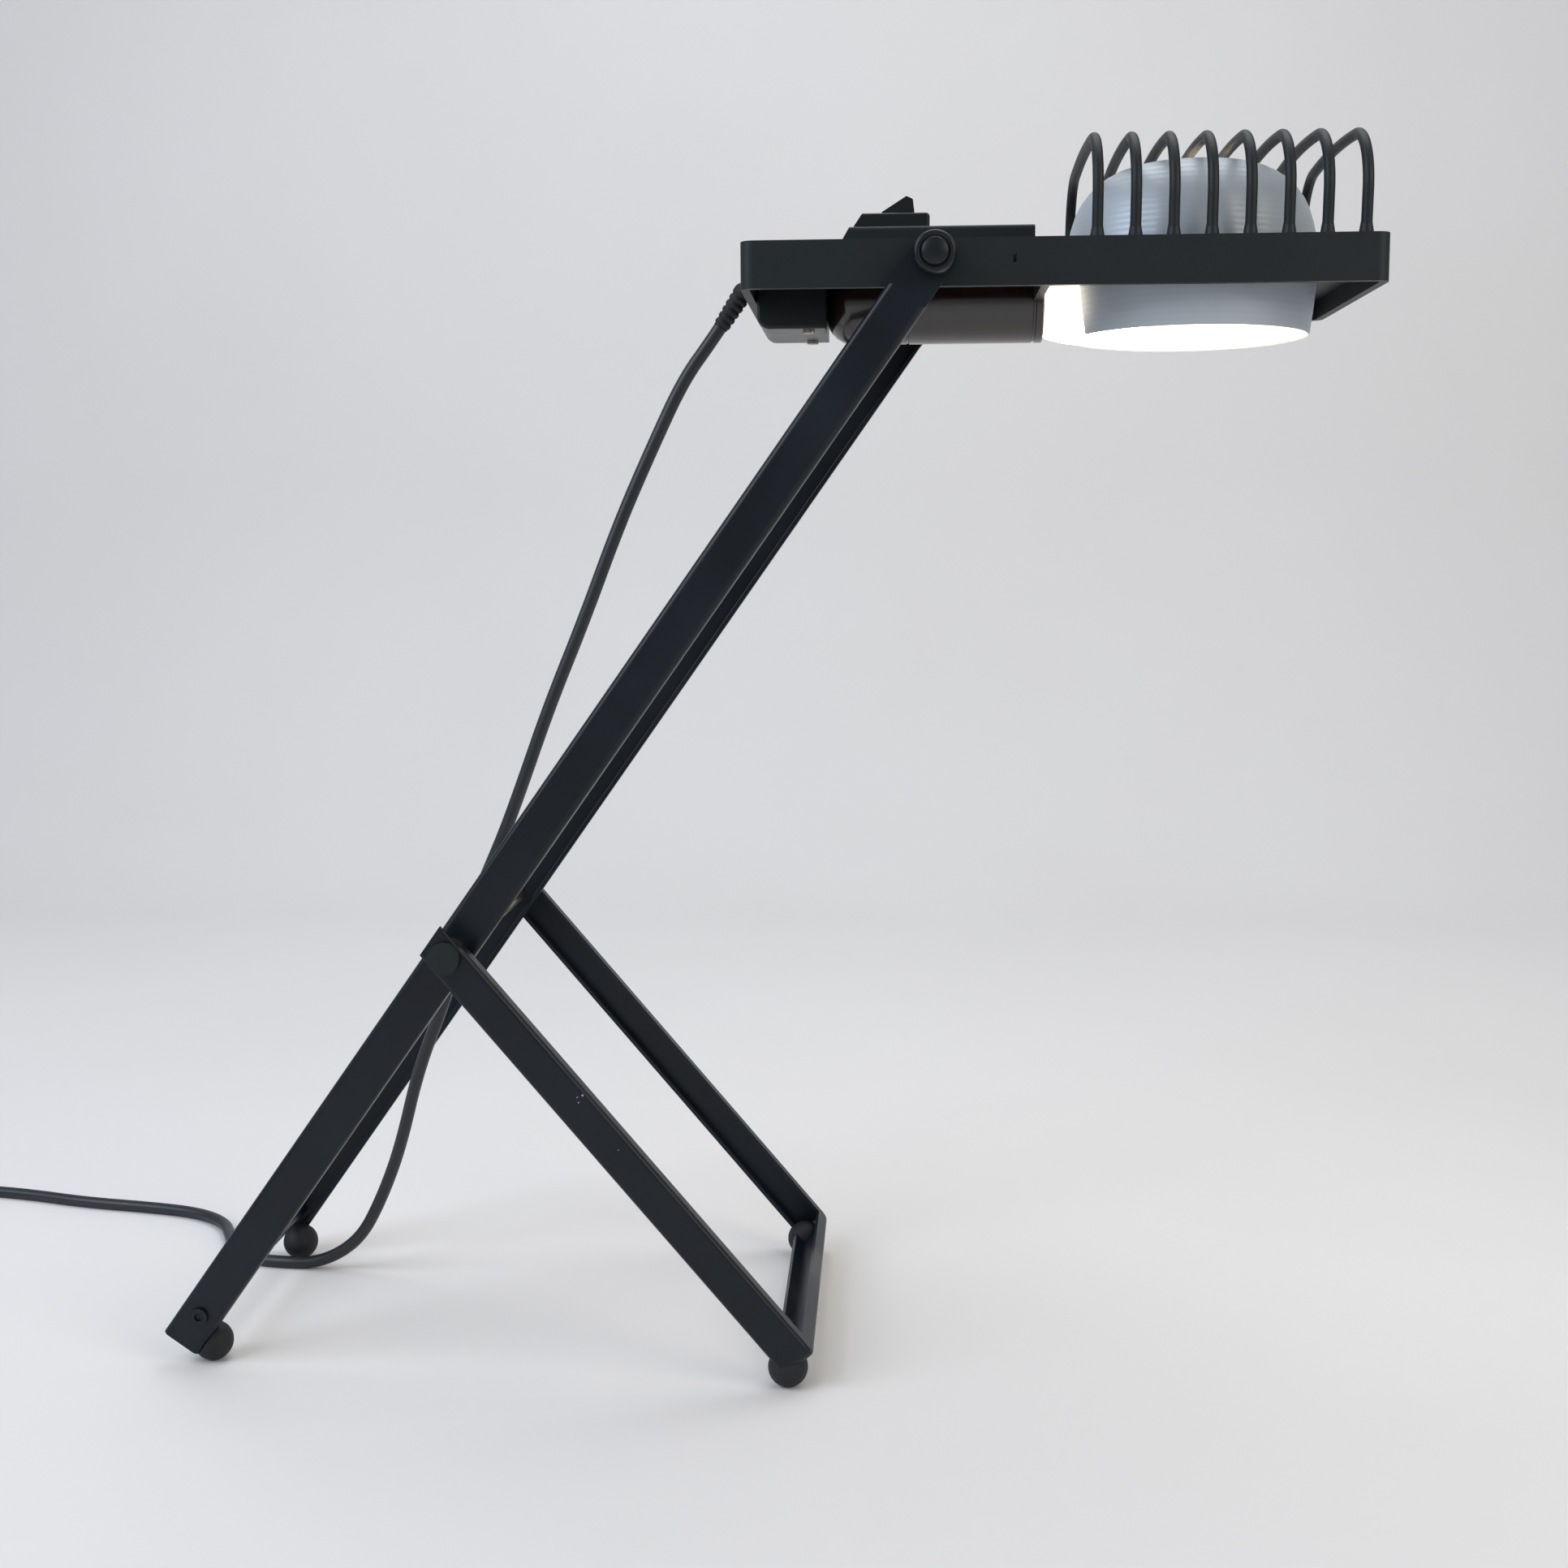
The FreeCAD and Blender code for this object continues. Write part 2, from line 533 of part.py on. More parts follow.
def make_leg_frame():
    body = new_body("leg_frame")
    plan = new_sketch(body, "leg_plan", "XY_Plane")
    outer, inner = "leg_half_width", "(leg_half_width - leg_flange)"
    tail, reach, inner_reach = "-arm_web", "leg_reach", "(leg_reach - leg_flange)"
    outline(plan, [
        (tail, f"-{outer}"), (f"{reach} - leg_corner", f"-{outer}"),
        (reach, f"-{outer} + leg_corner", "leg_corner"), (reach, f"{outer} - leg_corner"),
        (f"{reach} - leg_corner", outer, "leg_corner"), (tail, outer), (tail, inner),
        (inner_reach, inner), (inner_reach, f"-{inner}"), (tail, f"-{inner}")])
    extrude(body, "Pad", plan, "leg_web")

    def on_outer_skin(edge):
        point = middle_of(edge)
        at_top = near(abs(point.z), value("leg_web / 2"))
        inside_x = value(f"{reach} - leg_flange / 2")
        inside_y = value(f"{outer} - leg_flange / 2")
        level = abs(edge.Vertexes[0].Z - edge.Vertexes[-1].Z) < 0.01
        along_tail = point.x < value(tail) + 0.01
        return at_top and level and not along_tail and (point.x > inside_x or abs(point.y) > inside_y)
    round_edges(body, "leg_bends", "leg_bend", on_outer_skin)

    channel = new_sketch(body, "leg_channel", "XY_Plane")
    web, web_reach = f"({outer} - sheet)", f"({reach} - sheet)"
    edge, edge_reach = f"({inner} - 1)", f"({inner_reach} - 1)"
    corner = "(leg_corner - sheet)"
    outline(channel, [
        (f"{tail} - 1", f"-{web}"), (f"{web_reach} - {corner}", f"-{web}"),
        (web_reach, f"-{web} + {corner}", corner), (web_reach, f"{web} - {corner}"),
        (f"{web_reach} - {corner}", web, corner), (f"{tail} - 1", web), (f"{tail} - 1", edge),
        (edge_reach, edge), (edge_reach, f"-{edge}"), (f"{tail} - 1", f"-{edge}")])
    extrude(body, "Pocket", channel, "leg_web - 2 * sheet")

    flat_tail = new_sketch(body, "leg_flat_tail", "XY_Plane")
    rectangle(flat_tail, f"{tail} - 1", f"-{web}", "leg_tail_end", web)
    extrude(body, "Pocket", flat_tail, "2 * leg_web")

    # The tail is narrower than the legs and ends flush with the arm's back edge.
    trim = new_sketch(body, "leg_tail_trim", "XZ_Plane")
    opening = "(arm_angle + leg_angle)"
    top = "(leg_tail_web / 2)"
    cut_top = f"({top} / tan({opening}) - arm_web / 2 / sin({opening}))"
    cut_low = f"(-{top} / tan({opening}) - arm_web / 2 / sin({opening}))"
    outline(trim, [
        (f"{tail} - 1", "-leg_web"), ("leg_tail_end", "-leg_web"), ("leg_tail_end", f"-{top}"),
        (cut_low, f"-{top}"), (cut_top, top), ("leg_tail_end", top), ("leg_tail_end", "leg_web"),
        (f"{tail} - 1", "leg_web")])
    extrude(body, "Pocket", trim, "3 * leg_half_width")

    holes = new_sketch(body, "leg_holes", "XZ_Plane")
    circle(holes, "0", "0", "bush_radius")
    extrude(body, "Pocket", holes, "3 * leg_half_width")
    on_legs(body)


# ---- feet ----

# A rubber ball is slotted on a flange: everything of it that would lie in
# the sheet or outside the channel is cut away, and the floor flattens it.
def make_arm_feet():
    feet = []
    x = f"{LEG_PIVOT_X} - arm_foot_along * cos(arm_angle) + arm_foot_drop * sin(arm_angle)"
    for side, sign in SIDES.items():
        rubber = ball(f"arm_ball_{side}", "foot_radius", x, f"({sign}) * arm_foot_spread", "foot_height")
        edge = "(arm_half_width - arm_flange - foot_gap)"
        web = "(arm_half_width - sheet - foot_gap)"
        flange = box(f"arm_slot_{side}", "-arm_tail", "-arm_tail + 40",
                     f"({sign}) * ({edge} + 10) - 10", f"({sign}) * ({edge} + 10) + 10",
                     "-arm_web / 2 - foot_gap", "-arm_web / 2 + sheet + foot_gap")
        wall = box(f"arm_wall_{side}", "-arm_tail", "-arm_tail + 40",
                   f"({sign}) * ({web} + 10) - 10", f"({sign}) * ({web} + 10) + 10",
                   "-arm_web / 2 - foot_gap", "arm_web / 2")
        steel = fuse(f"arm_steel_{side}", flange, wall)
        turn(steel, "arm_angle", clockwise=False)
        hang(steel, LEG_PIVOT_X, "leg_pivot_height")
        floor = box(f"arm_floor_{side}", f"{x} - 20", f"{x} + 20", "-100", "100", "-20", "0")
        feet.append(cut(f"arm_foot_{side}", rubber, steel, floor))
    on_floor(group("arm_foot_balls", *feet))


def make_leg_feet():
    feet = []
    x = f"{LEG_PIVOT_X} + leg_foot_along * cos(leg_angle) - leg_foot_drop * sin(leg_angle)"
    for side, sign in SIDES.items():
        rubber = ball(f"leg_ball_{side}", "foot_radius", x, f"({sign}) * leg_foot_spread", "foot_height")
        slot_low, slot_high = "-leg_web / 2 - foot_gap", "-leg_web / 2 + sheet + foot_gap"
        edge = "(leg_half_width - leg_flange - foot_gap)"
        web = "(leg_half_width - sheet - foot_gap)"
        pieces = [
            box(f"leg_slot_{side}", "leg_reach - 40", "leg_reach + 20",
                f"({sign}) * ({edge} + 15) - 15", f"({sign}) * ({edge} + 15) + 15",
                slot_low, slot_high),
            box(f"leg_wall_{side}", "leg_reach - 40", "leg_reach + 20",
                f"({sign}) * ({web} + 15) - 15", f"({sign}) * ({web} + 15) + 15",
                slot_low, "leg_web / 2"),
            box(f"cross_slot_{side}", "leg_reach - leg_flange - foot_gap", "leg_reach + 20",
                "-leg_half_width", "leg_half_width", slot_low, slot_high),
            box(f"cross_wall_{side}", "leg_reach - sheet - foot_gap", "leg_reach + 20",
                "-leg_half_width - 5", "leg_half_width + 5", slot_low, "leg_web / 2"),
            box(f"corner_{side}", "leg_reach - leg_corner", "leg_reach + 20",
                f"({sign}) * (leg_half_width - leg_corner + 10) - 10",
                f"({sign}) * (leg_half_width - leg_corner + 10) + 10", slot_low, "leg_web / 2")]
        steel = fuse(f"leg_steel_{side}", *pieces)
        turn(steel, "leg_angle", clockwise=True)
        hang(steel, LEG_PIVOT_X, "leg_pivot_height")
        floor = box(f"leg_floor_{side}", f"{x} - 20", f"{x} + 20", "-110", "110", "-20", "0")
        feet.append(cut(f"leg_foot_{side}", rubber, steel, floor))
    on_floor(group("leg_foot_balls", *feet))


# ---- head, about the head pivot ----

def make_head_frame():
    body = new_body("head_frame")
    middle = "((rail_top - rail_drop) / 2)"
    half, inner = "head_half_width", "(head_half_width - rail_wall)"
    plan = new_sketch(body, "head_plan", "XY_Plane", middle)
    rectangle(plan, "-head_rear", f"-{half}", "head_front", half)
    extrude(body, "Pad", plan, "rail_top + rail_drop")
    height = value("rail_top + rail_drop")
    round_edges(body, "head_corners", "rail_corner",
                lambda edge: runs_along(edge, "z") and near(edge.Length, height))

    front = new_sketch(body, "front_opening", "XY_Plane", middle)
    rectangle(front, "opening_rear", f"-{inner}", "head_front - rail_wall", inner)
    extrude(body, "Pocket", front, "rail_top + rail_drop + 2")

    hollow_top = "(rail_top - plate)"
    hollow = new_sketch(body, "rear_hollow", "XY_Plane", f"{hollow_top} - (rail_top + rail_drop) / 2")
    rectangle(hollow, "rail_wall - head_rear", f"-{inner}", "plate_front", inner)
    extrude(body, "Pocket", hollow, "rail_top + rail_drop")
    round_edges(body, "inner_corners", "rail_corner - rail_wall",
                lambda edge: runs_along(edge, "z")
                and near(abs(middle_of(edge).y), value(inner)))

    # The ledge on which the reflector's bead rests.
    ledge = new_sketch(body, "ledge", "XY_Plane", "-plate / 2")
    rectangle(ledge, "opening_rear - 1", f"-{inner} - 1", "head_front - rail_wall + 1", f"{inner} + 1")
    circle(ledge, "reflector_centre", "0", "seat_radius + 0.5")
    extrude(body, "Pad", ledge, "plate")

    # The cross wall behind the opening and the ledge let the lampholder and the bulb through.
    tunnel = new_sketch(body, "barrel_tunnel", "YZ_Plane", "opening_rear")
    circle(tunnel, "0", "-lamp_axis_drop", "barrel_radius + 0.5")
    extrude(body, "Pocket", tunnel, "30")

    rear_tunnel = new_sketch(body, "barrel_rear_tunnel", "YZ_Plane", "-barrel_rear + 1")
    circle(rear_tunnel, "0", "-lamp_axis_drop", "barrel_radius - 1.3")
    extrude(body, "Pocket", rear_tunnel, "10")
    gap = new_sketch(body, "ledge_gap", "XY_Plane", "-plate / 2")
    rectangle(gap, "opening_rear", "-notch_half_width", "reflector_centre - seat_radius + 8",
              "notch_half_width")
    extrude(body, "Pocket", gap, "plate + 0.2")

    well = new_sketch(body, "housing_well", "XY_Plane", "rail_top")
    side = "(housing_half_width - housing_wall)"
    rectangle(well, "housing_wall - housing_rear", f"-{side}", "housing_front - housing_wall", side)
    extrude(body, "Pocket", well, "4 * plate")

    pivots = new_sketch(body, "pivot_holes", "XZ_Plane")
    circle(pivots, "0", "0", "bolt_radius + running_gap")
    extrude(body, "Pocket", pivots, "3 * head_half_width")

    entry = new_sketch(body, "cord_entry", "YZ_Plane", "-head_rear")
    circle(entry, "0", "-gland_drop", "gland_radius + 0.1")
    extrude(body, "Pocket", entry, "4 * rail_wall")

    slots = new_sketch(body, "vent_slots", "XZ_Plane")
    rectangle(slots, "slot_x - 0.75", "-2.5", "slot_x + 0.75", "1.5")
    extrude(body, "Pocket", slots, "3 * head_half_width")
    on_head(body)


# One hoop: a leaning leg, a tight corner arc and a slightly arched crown,
# mirrored. The lengths follow from the spread and the rise.
def rib_outline():
    lean = math.radians(90 + value("rib_lean"))
    crown = math.radians(value("rib_crown_angle"))
    radius = value("rib_crown_radius")
    spread, rise = value("rib_spread"), value("rib_rise")
    across = spread - radius * math.sin(crown)
    up = rise - value("rib_lift") - radius * (1 - math.cos(crown))
    turn_across = math.sin(lean) - math.sin(crown)
    turn_up = math.cos(crown) - math.cos(lean)
    determinant = math.cos(lean) * turn_up - turn_across * math.sin(lean)
    leg = (across * turn_up - turn_across * up) / determinant
    bend = (math.cos(lean) * up - math.sin(lean) * across) / determinant
    base = Vector(0, -spread, value("rail_top + rib_lift"))
    knee = base + Vector(0, leg * math.cos(lean), leg * math.sin(lean))
    centre = knee + Vector(0, bend * math.sin(lean), -bend * math.cos(lean))

    def on_corner(angle):
        return centre + Vector(0, -bend * math.sin(angle), bend * math.cos(angle))
    brow = on_corner(crown)
    top = Vector(0, 0, value("rail_top") + value("rib_rise"))

    def mirrored(point):
        return Vector(0, -point.y, point.z)
    middle = on_corner((lean + crown) / 2)
    return Part.Wire([
        Part.makeLine(base, knee), Part.Arc(knee, middle, brow).toShape(),
        Part.Arc(brow, top, mirrored(brow)).toShape(),
        Part.Arc(mirrored(brow), mirrored(middle), mirrored(knee)).toShape(),
        Part.makeLine(mirrored(knee), mirrored(base))])


def make_guard_ribs():
    wire = rib_outline()
    base = wire.Edges[0].valueAt(0)
    ring = Part.Wire([Part.makeCircle(value("rib_radius"), base, wire.Edges[0].tangentAt(0))])
    hoop = wire.makePipeShell([ring], True, False)
    ribs = []
    for number in range(int(value("rib_count"))):
        name = f"rib_{number + 1}"
        x = f"rib_first + {number} * rib_pitch"
        bow = document.addObject("Part::Feature", name + "_bow")
        bow.Shape = hoop
        place(bow, x)
        roots = [cone(f"{name}_root_{side}", "rib_root_radius", "rib_radius", "rib_root_height", x,
                      f"({sign}) * rib_spread", "rail_top") for side, sign in SIDES.items()]
        ribs.append(fuse(name, bow, *roots))
    on_head(group("guard_ribs", *ribs))


def make_top_housing():
    body = new_body("top_housing")
    profile = new_sketch(body, "housing_profile", "XZ_Plane")
    outline(profile, [("-housing_rear", "rail_top"), ("housing_front", "rail_top"),
                      ("housing_front", "housing_top"), ("housing_slope - housing_rear", "housing_top")])
    extrude(body, "Pad", profile, "2 * housing_half_width")
    top = value("housing_top")
    round_edges(body, "housing_edges", "2",
                lambda edge: runs_along(edge, "x") and near(middle_of(edge).z, top))
    inside = new_sketch(body, "housing_inside", "XZ_Plane")
    outline(inside, [("housing_wall - housing_rear", "rail_top - 1"),
                     ("housing_front - housing_wall", "rail_top - 1"),
                     ("housing_front - housing_wall", "housing_top - housing_wall"),
                     ("housing_slope - housing_rear + housing_wall", "housing_top - housing_wall")])
    extrude(body, "Pocket", inside, "2 * (housing_half_width - housing_wall)")
    arch = new_sketch(body, "barrel_arch", "YZ_Plane", "housing_front")
    circle(arch, "0", "-lamp_axis_drop", "barrel_radius + 0.5")
    extrude(body, "Pocket", arch, "4 * housing_wall")
    hole = new_sketch(body, "switch_hole", "XY_Plane", "housing_top")
    rectangle(hole, "3 - bezel_rear", "3.2 - bezel_half_width", "-bezel_front - 3",
              "bezel_half_width - 3.2")
    extrude(body, "Pocket", hole, "4 * housing_wall")
    on_head(body)


# The slot that the rocker moves in.
def cut_rocker_slot(body, name):
    slot = new_sketch(body, name, "XY_Plane", "bezel_top")
    reach, side = "(rocker_half_length + rocker_gap)", "(rocker_half_width + rocker_gap)"
    rectangle(slot, f"-rocker_x - {reach}", f"-{side}", f"-rocker_x + {reach}", side)
    extrude(body, "Pocket", slot, "40")


def make_switch():
    bezel = new_body("switch_bezel")
    profile = new_sketch(bezel, "bezel_profile", "XZ_Plane")
    outline(profile, [("-bezel_rear", "housing_top"), ("-bezel_front", "housing_top"),
                      ("-bezel_front", "bezel_top - 2"), ("-bezel_front - 2", "bezel_top", "2"),
                      ("bezel_draft - bezel_rear", "bezel_top")])
    extrude(bezel, "Pad", profile, "2 * bezel_half_width")
    top = value("bezel_top")
    round_edges(bezel, "bezel_edges", "1.5",
                lambda edge: runs_along(edge, "x") and near(middle_of(edge).z, top))
    cut_rocker_slot(bezel, "bezel_slot")
    pin_hole = new_sketch(bezel, "bezel_pin_hole", "XZ_Plane")
    circle(pin_hole, "-rocker_x", "rocker_z", "rocker_pin_radius + 0.02")
    extrude(bezel, "Pocket", pin_hole, "2 * bezel_half_width - 3")
    on_head(bezel)

    shell = new_body("switch_body")
    block = new_sketch(shell, "switch_block", "XZ_Plane")
    rectangle(block, "3.2 - bezel_rear", "switch_floor", "-bezel_front - 3.2", "housing_top - 0.1")
    extrude(shell, "Pad", block, "2 * (bezel_half_width - 3.4)")
    cradle = new_sketch(shell, "switch_cradle", "XZ_Plane")
    circle(cradle, "-rocker_x", "rocker_z", "rocker_half_length + rocker_gap")
    extrude(shell, "Pocket", cradle, "2 * (rocker_half_width + rocker_gap)")
    on_head(shell)

    on_head(group("rocker_pin", cylinder("rocker_pin_bar", "rocker_pin_radius",
                                         "2 * (bezel_half_width - 1.6)", "-rocker_x",
                                         "1.6 - bezel_half_width", "rocker_z")))

    rocker = new_body("switch_rocker")
    side_view = new_sketch(rocker, "rocker_profile", "XZ_Plane")
    length = "rocker_half_length"
    outline(side_view, [
        (f"-rocker_x - {length}", "rocker_z"), ("-rocker_x", f"rocker_z - {length}", length),
        (f"-rocker_x + {length}", "rocker_z", length),
        (f"-rocker_x + {length} - 1.2", "rocker_z + rocker_crest - 1.5"),
        ("-rocker_x + 4", "rocker_z + rocker_crest"),
        (f"-rocker_x - {length} + 0.5", "rocker_z + 4")])
    extrude(rocker, "Pad", side_view, "2 * rocker_half_width")
    round_edges(rocker, "rocker_edges", "0.8",
                lambda edge: near(edge.Length, value("2 * rocker_half_width"))
                and middle_of(edge).z > value("rocker_z + 3"))
    bore = new_sketch(rocker, "rocker_bore", "XZ_Plane")
    circle(bore, "-rocker_x", "rocker_z", "rocker_pin_radius + running_gap")
    extrude(rocker, "Pocket", bore, "3 * rocker_half_width")
    on_head(rocker)


def make_rear_cover():
    body = new_body("rear_cover")
    profile = new_sketch(body, "cover_profile", "XZ_Plane")
    rectangle(profile, "-cover_rear", "-cover_drop", "-cover_front", "rail_top - plate - 0.05")
    extrude(body, "Pad", profile, "2 * cover_half_width")
    bottom, rear = value("-cover_drop"), value("-cover_rear")
    round_edges(body, "cover_corner_edge", "cover_corner",
                lambda edge: runs_along(edge, "y") and near(middle_of(edge).z, bottom)
                and near(middle_of(edge).x, rear))
    round_edges(body, "cover_bottom_edges", "1.5",
                lambda edge: runs_along(edge, "x") and near(middle_of(edge).z, bottom))
    inside = new_sketch(body, "cover_inside", "XZ_Plane")
    rectangle(inside, "housing_wall - cover_rear", "housing_wall - cover_drop",
              "-cover_front - housing_wall", "rail_top")
    extrude(body, "Pocket", inside, "2 * (cover_half_width - housing_wall)")
    bores = new_sketch(body, "cover_cord_hole", "YZ_Plane", "-cover_rear")
    circle(bores, "0", "-gland_drop", "gland_radius + 0.1")
    extrude(body, "Pocket", bores, "4 * housing_wall")
    nipple = new_sketch(body, "cover_nipple_hole", "YZ_Plane", "-cover_front")
    circle(nipple, "0", "-lamp_axis_drop", "nipple_radius + 0.1")
    extrude(body, "Pocket", nipple, "4 * housing_wall")
    wires = new_sketch(body, "cover_wire_holes", "YZ_Plane", "-cover_front")
    for across in ("-17", "17"):
        circle(wires, across, "-0.5", "2.2")
    extrude(body, "Pocket", wires, "4 * housing_wall")
    screw_holes = new_sketch(body, "cover_screw_holes", "XY_Plane", "-cover_drop")
    for across in ("-22", "22"):
        circle(screw_holes, "-cover_front - 8", across, "1.6")
    extrude(body, "Pocket", screw_holes, "4 * housing_wall")
    on_head(body)

    screws = []
    for side, sign in SIDES.items():
        shank = cylinder(f"cover_shank_{side}", "1.5", "cover_drop + rail_top - plate",
                         "-cover_front - 8", f"({sign}) * 22", "-cover_drop - 1", "Z")
        head = cylinder(f"cover_screw_head_{side}", "2.8", "1.4", "-cover_front - 8", f"({sign}) * 22",
                        "-cover_drop - 1.45", "Z")
        recess = box(f"cover_screw_slot_{side}", "-cover_front - 9", "-cover_front - 7",
                     f"({sign}) * 22 - 0.4", f"({sign}) * 22 + 0.4", "-cover_drop - 2",
                     "-cover_drop - 0.7")
        screws.append(cut(f"cover_screw_{side}", fuse(f"cover_screw_blank_{side}", shank, head), recess))
    on_head(group("cover_screws", *screws))


# ---- lampholder, reflector and bulb ----

def make_lampholder():
    low = "-lamp_axis_drop"
    barrel = new_body("lampholder_barrel")
    wall = new_sketch(barrel, "barrel_profile", "XZ_Plane")
    radius, inner = "barrel_radius", "(barrel_radius - barrel_wall)"
    bend, inner_bend = "barrel_dome", "(barrel_dome - barrel_wall)"
    bore = "(nipple_radius + 0.1)"
    outline(wall, [
        ("-barrel_rear", bore), ("-barrel_rear + barrel_wall", bore),
        ("-barrel_rear + barrel_wall", f"{inner} - {inner_bend}"),
        (f"-barrel_rear + {bend}", inner, f"-{inner_bend}"),
        ("barrel_front", inner), ("barrel_front", radius),
        (f"-barrel_rear + {bend}", radius),
        ("-barrel_rear", f"{radius} - {bend}", bend)])
    revolve(barrel, "Revolution", wall, "H_Axis")
    round_edges(barrel, "barrel_rim", "0.6",
                lambda edge: near(edge.BoundBox.XMin, value("barrel_front"), 0.05)
                and near(edge.BoundBox.XMax, value("barrel_front"), 0.05))
    hang(barrel, HEAD_X, f"{HEAD_Z} + {low}")
    parts.append(barrel)

    nipple_tube = cut("nipple_tube",
                      cylinder("nipple_outer", "nipple_radius", "13", "-barrel_rear - 6.2", "0", low, "X"),
                      cylinder("nipple_bore", "3.6", "15", "-barrel_rear - 7.2", "0", low, "X"))
    nut = cut("nipple_nut_tube",
              cylinder("nipple_nut_outer", "7.5", "2.5", "-cover_front - 5.3", "0", low, "X"),
              cylinder("nipple_nut_bore", "nipple_radius + 0.05", "4", "-cover_front - 6", "0", low, "X"))
    collar = cut("nipple_collar_tube",
                 cylinder("nipple_collar_outer", "7.5", "2", "-barrel_rear + barrel_wall + 0.1", "0",
                          low, "X"),
                 cylinder("nipple_collar_bore", "nipple_radius + 0.05", "4",
                          "-barrel_rear + barrel_wall - 1", "0", low, "X"))
    on_head(group("lampholder_nipple", nipple_tube))
    on_head(group("nipple_nuts", nut, collar))

    insulator = cut("insulator_disc",
                    cylinder("insulator_blank", "barrel_radius - barrel_wall - 0.2", "10", "8", "0",
                             low, "X"),
                    cylinder("insulator_well", "11", "5", "14", "0", low, "X"),
                    cylinder("insulator_wire_hole", "1.5", "14", "6", "8", f"{low} - 8", "X"))
    on_head(group("lampholder_insulator", insulator))

    shell = new_body("screw_shell")
    waves = new_sketch(shell, "shell_profile", "XZ_Plane")
    steps = [("18.2", "shell_radius"), ("20", "shell_radius")]
    crest, root = "shell_radius", "(shell_radius - 0.6)"
    turns = 7
    for number in range(turns):
        steps += [(f"21 + {number} * 3.63", root), (f"22.8 + {number} * 3.63", crest)]
    steps += [("47.6", crest), ("47.6", f"{crest} - 0.35")]
    for number in reversed(range(turns)):
        steps += [(f"22.8 + {number} * 3.63", f"{crest} - 0.35"), (f"21 + {number} * 3.63", f"{root} - 0.35")]
    steps += [("20", f"{crest} - 0.35"), ("18.2", f"{crest} - 0.35")]
    outline(waves, steps)
    revolve(shell, "Revolution", waves, "H_Axis")
    hang(shell, HEAD_X, f"{HEAD_Z} + {low}")
    parts.append(shell)

    spring = cut("contact_strip",
                 box("contact_block", "14.2", "22.5", "-3", "3", f"{low} - 0.4", f"{low} + 6"),
                 box("contact_gap", "15", "22.1", "-4", "4", f"{low} - 1", f"{low} + 5.4"))
    tip = box("contact_tip", "22.1", "22.5", "-3", "3", f"{low} - 3", f"{low} + 6")
    on_head(group("centre_contact", fuse("contact_tongue", spring, tip)))


def make_reflector():
    body = new_body("reflector")
    side_view = new_sketch(body, "reflector_profile", "XZ_Plane")
    outside = [("mouth_radius", "-mouth_drop"), ("seat_radius", "-plate - 1"), ("seat_radius", "0.05"),
               ("bead_radius", "0.05"), ("bead_radius", "2"), ("seat_radius", "4"),
               ("shoulder_radius", "shoulder_height", "70"),
               ("crown_radius", "crown_height", "34"), ("vent_radius", "crown_height + 0.6")]
    wall = "reflector_wall"
    inside = [("vent_radius", f"crown_height + 0.6 - {wall}"), ("crown_radius", f"crown_height - {wall}"),
              (f"shoulder_radius - {wall}", "shoulder_height", f"-(34 - {wall})"),
              (f"seat_radius - {wall}", "4", f"-(70 - {wall})"),
              (f"seat_radius - {wall}", "-plate - 1"), (f"mouth_radius - {wall}", "-mouth_drop")]
    outline(side_view, outside + inside)
    revolve(body, "Revolution", side_view, "V_Axis")
    notch = new_sketch(body, "lampholder_notch", "YZ_Plane", "-seat_radius")
    rectangle(notch, "-notch_half_width", "-mouth_drop - 1", "notch_half_width", "notch_top")
    extrude(body, "Pocket", notch, "seat_radius")
    hang(body, f"{HEAD_X} + reflector_centre", HEAD_Z)
    parts.append(body)


def make_bulb():
    low = "-lamp_axis_drop"
    cap = new_body("bulb_cap")
    profile = new_sketch(cap, "cap_profile", "XZ_Plane")
    crest, root = "bulb_cap_radius", "(bulb_cap_radius - 0.6)"
    steps = [("bulb_rear + 2", "0"), ("bulb_neck", "0"), ("bulb_neck", crest)]
    for number in reversed(range(5)):
        steps += [(f"28.3 + {number} * 3.63", root), (f"26.5 + {number} * 3.63", crest)]
    steps += [("bulb_rear + 2", "8")]
    outline(profile, steps)
    revolve(cap, "Revolution", profile, "H_Axis")
    hang(cap, HEAD_X, f"{HEAD_Z} + {low}")
    parts.append(cap)

    on_head(group("bulb_contact", cone("bulb_contact_tip", "3.5", "5", "bulb_rear + 2 - 22.6", "22.6", "0",
                                       low, "X")))

    base = new_body("bulb_base")
    side_view = new_sketch(base, "bulb_base_profile", "XZ_Plane")
    outline(side_view, [("bulb_neck + 0.05", "0"), ("bulb_seam", "0"), ("bulb_seam", "bulb_seam_radius"),
                        ("bulb_neck + 8", "18.4", "60"), ("bulb_neck + 0.05", "13.4", "14")])
    revolve(base, "Revolution", side_view, "H_Axis")
    hang(base, HEAD_X, f"{HEAD_Z} + {low}")
    parts.append(base)

    globe = new_body("bulb_globe")
    dome = new_sketch(globe, "globe_profile", "XZ_Plane")
    middle = "(bulb_front - globe_radius)"
    outline(dome, [("bulb_seam + 0.05", "0"), ("bulb_front", "0"), (middle, "globe_radius", "globe_radius"),
                   ("bulb_seam + 0.05", "bulb_seam_radius", "90")])
    revolve(globe, "Revolution", dome, "H_Axis")
    hang(globe, HEAD_X, f"{HEAD_Z} + {low}")
    parts.append(globe)


# ---- head pivot hardware ----

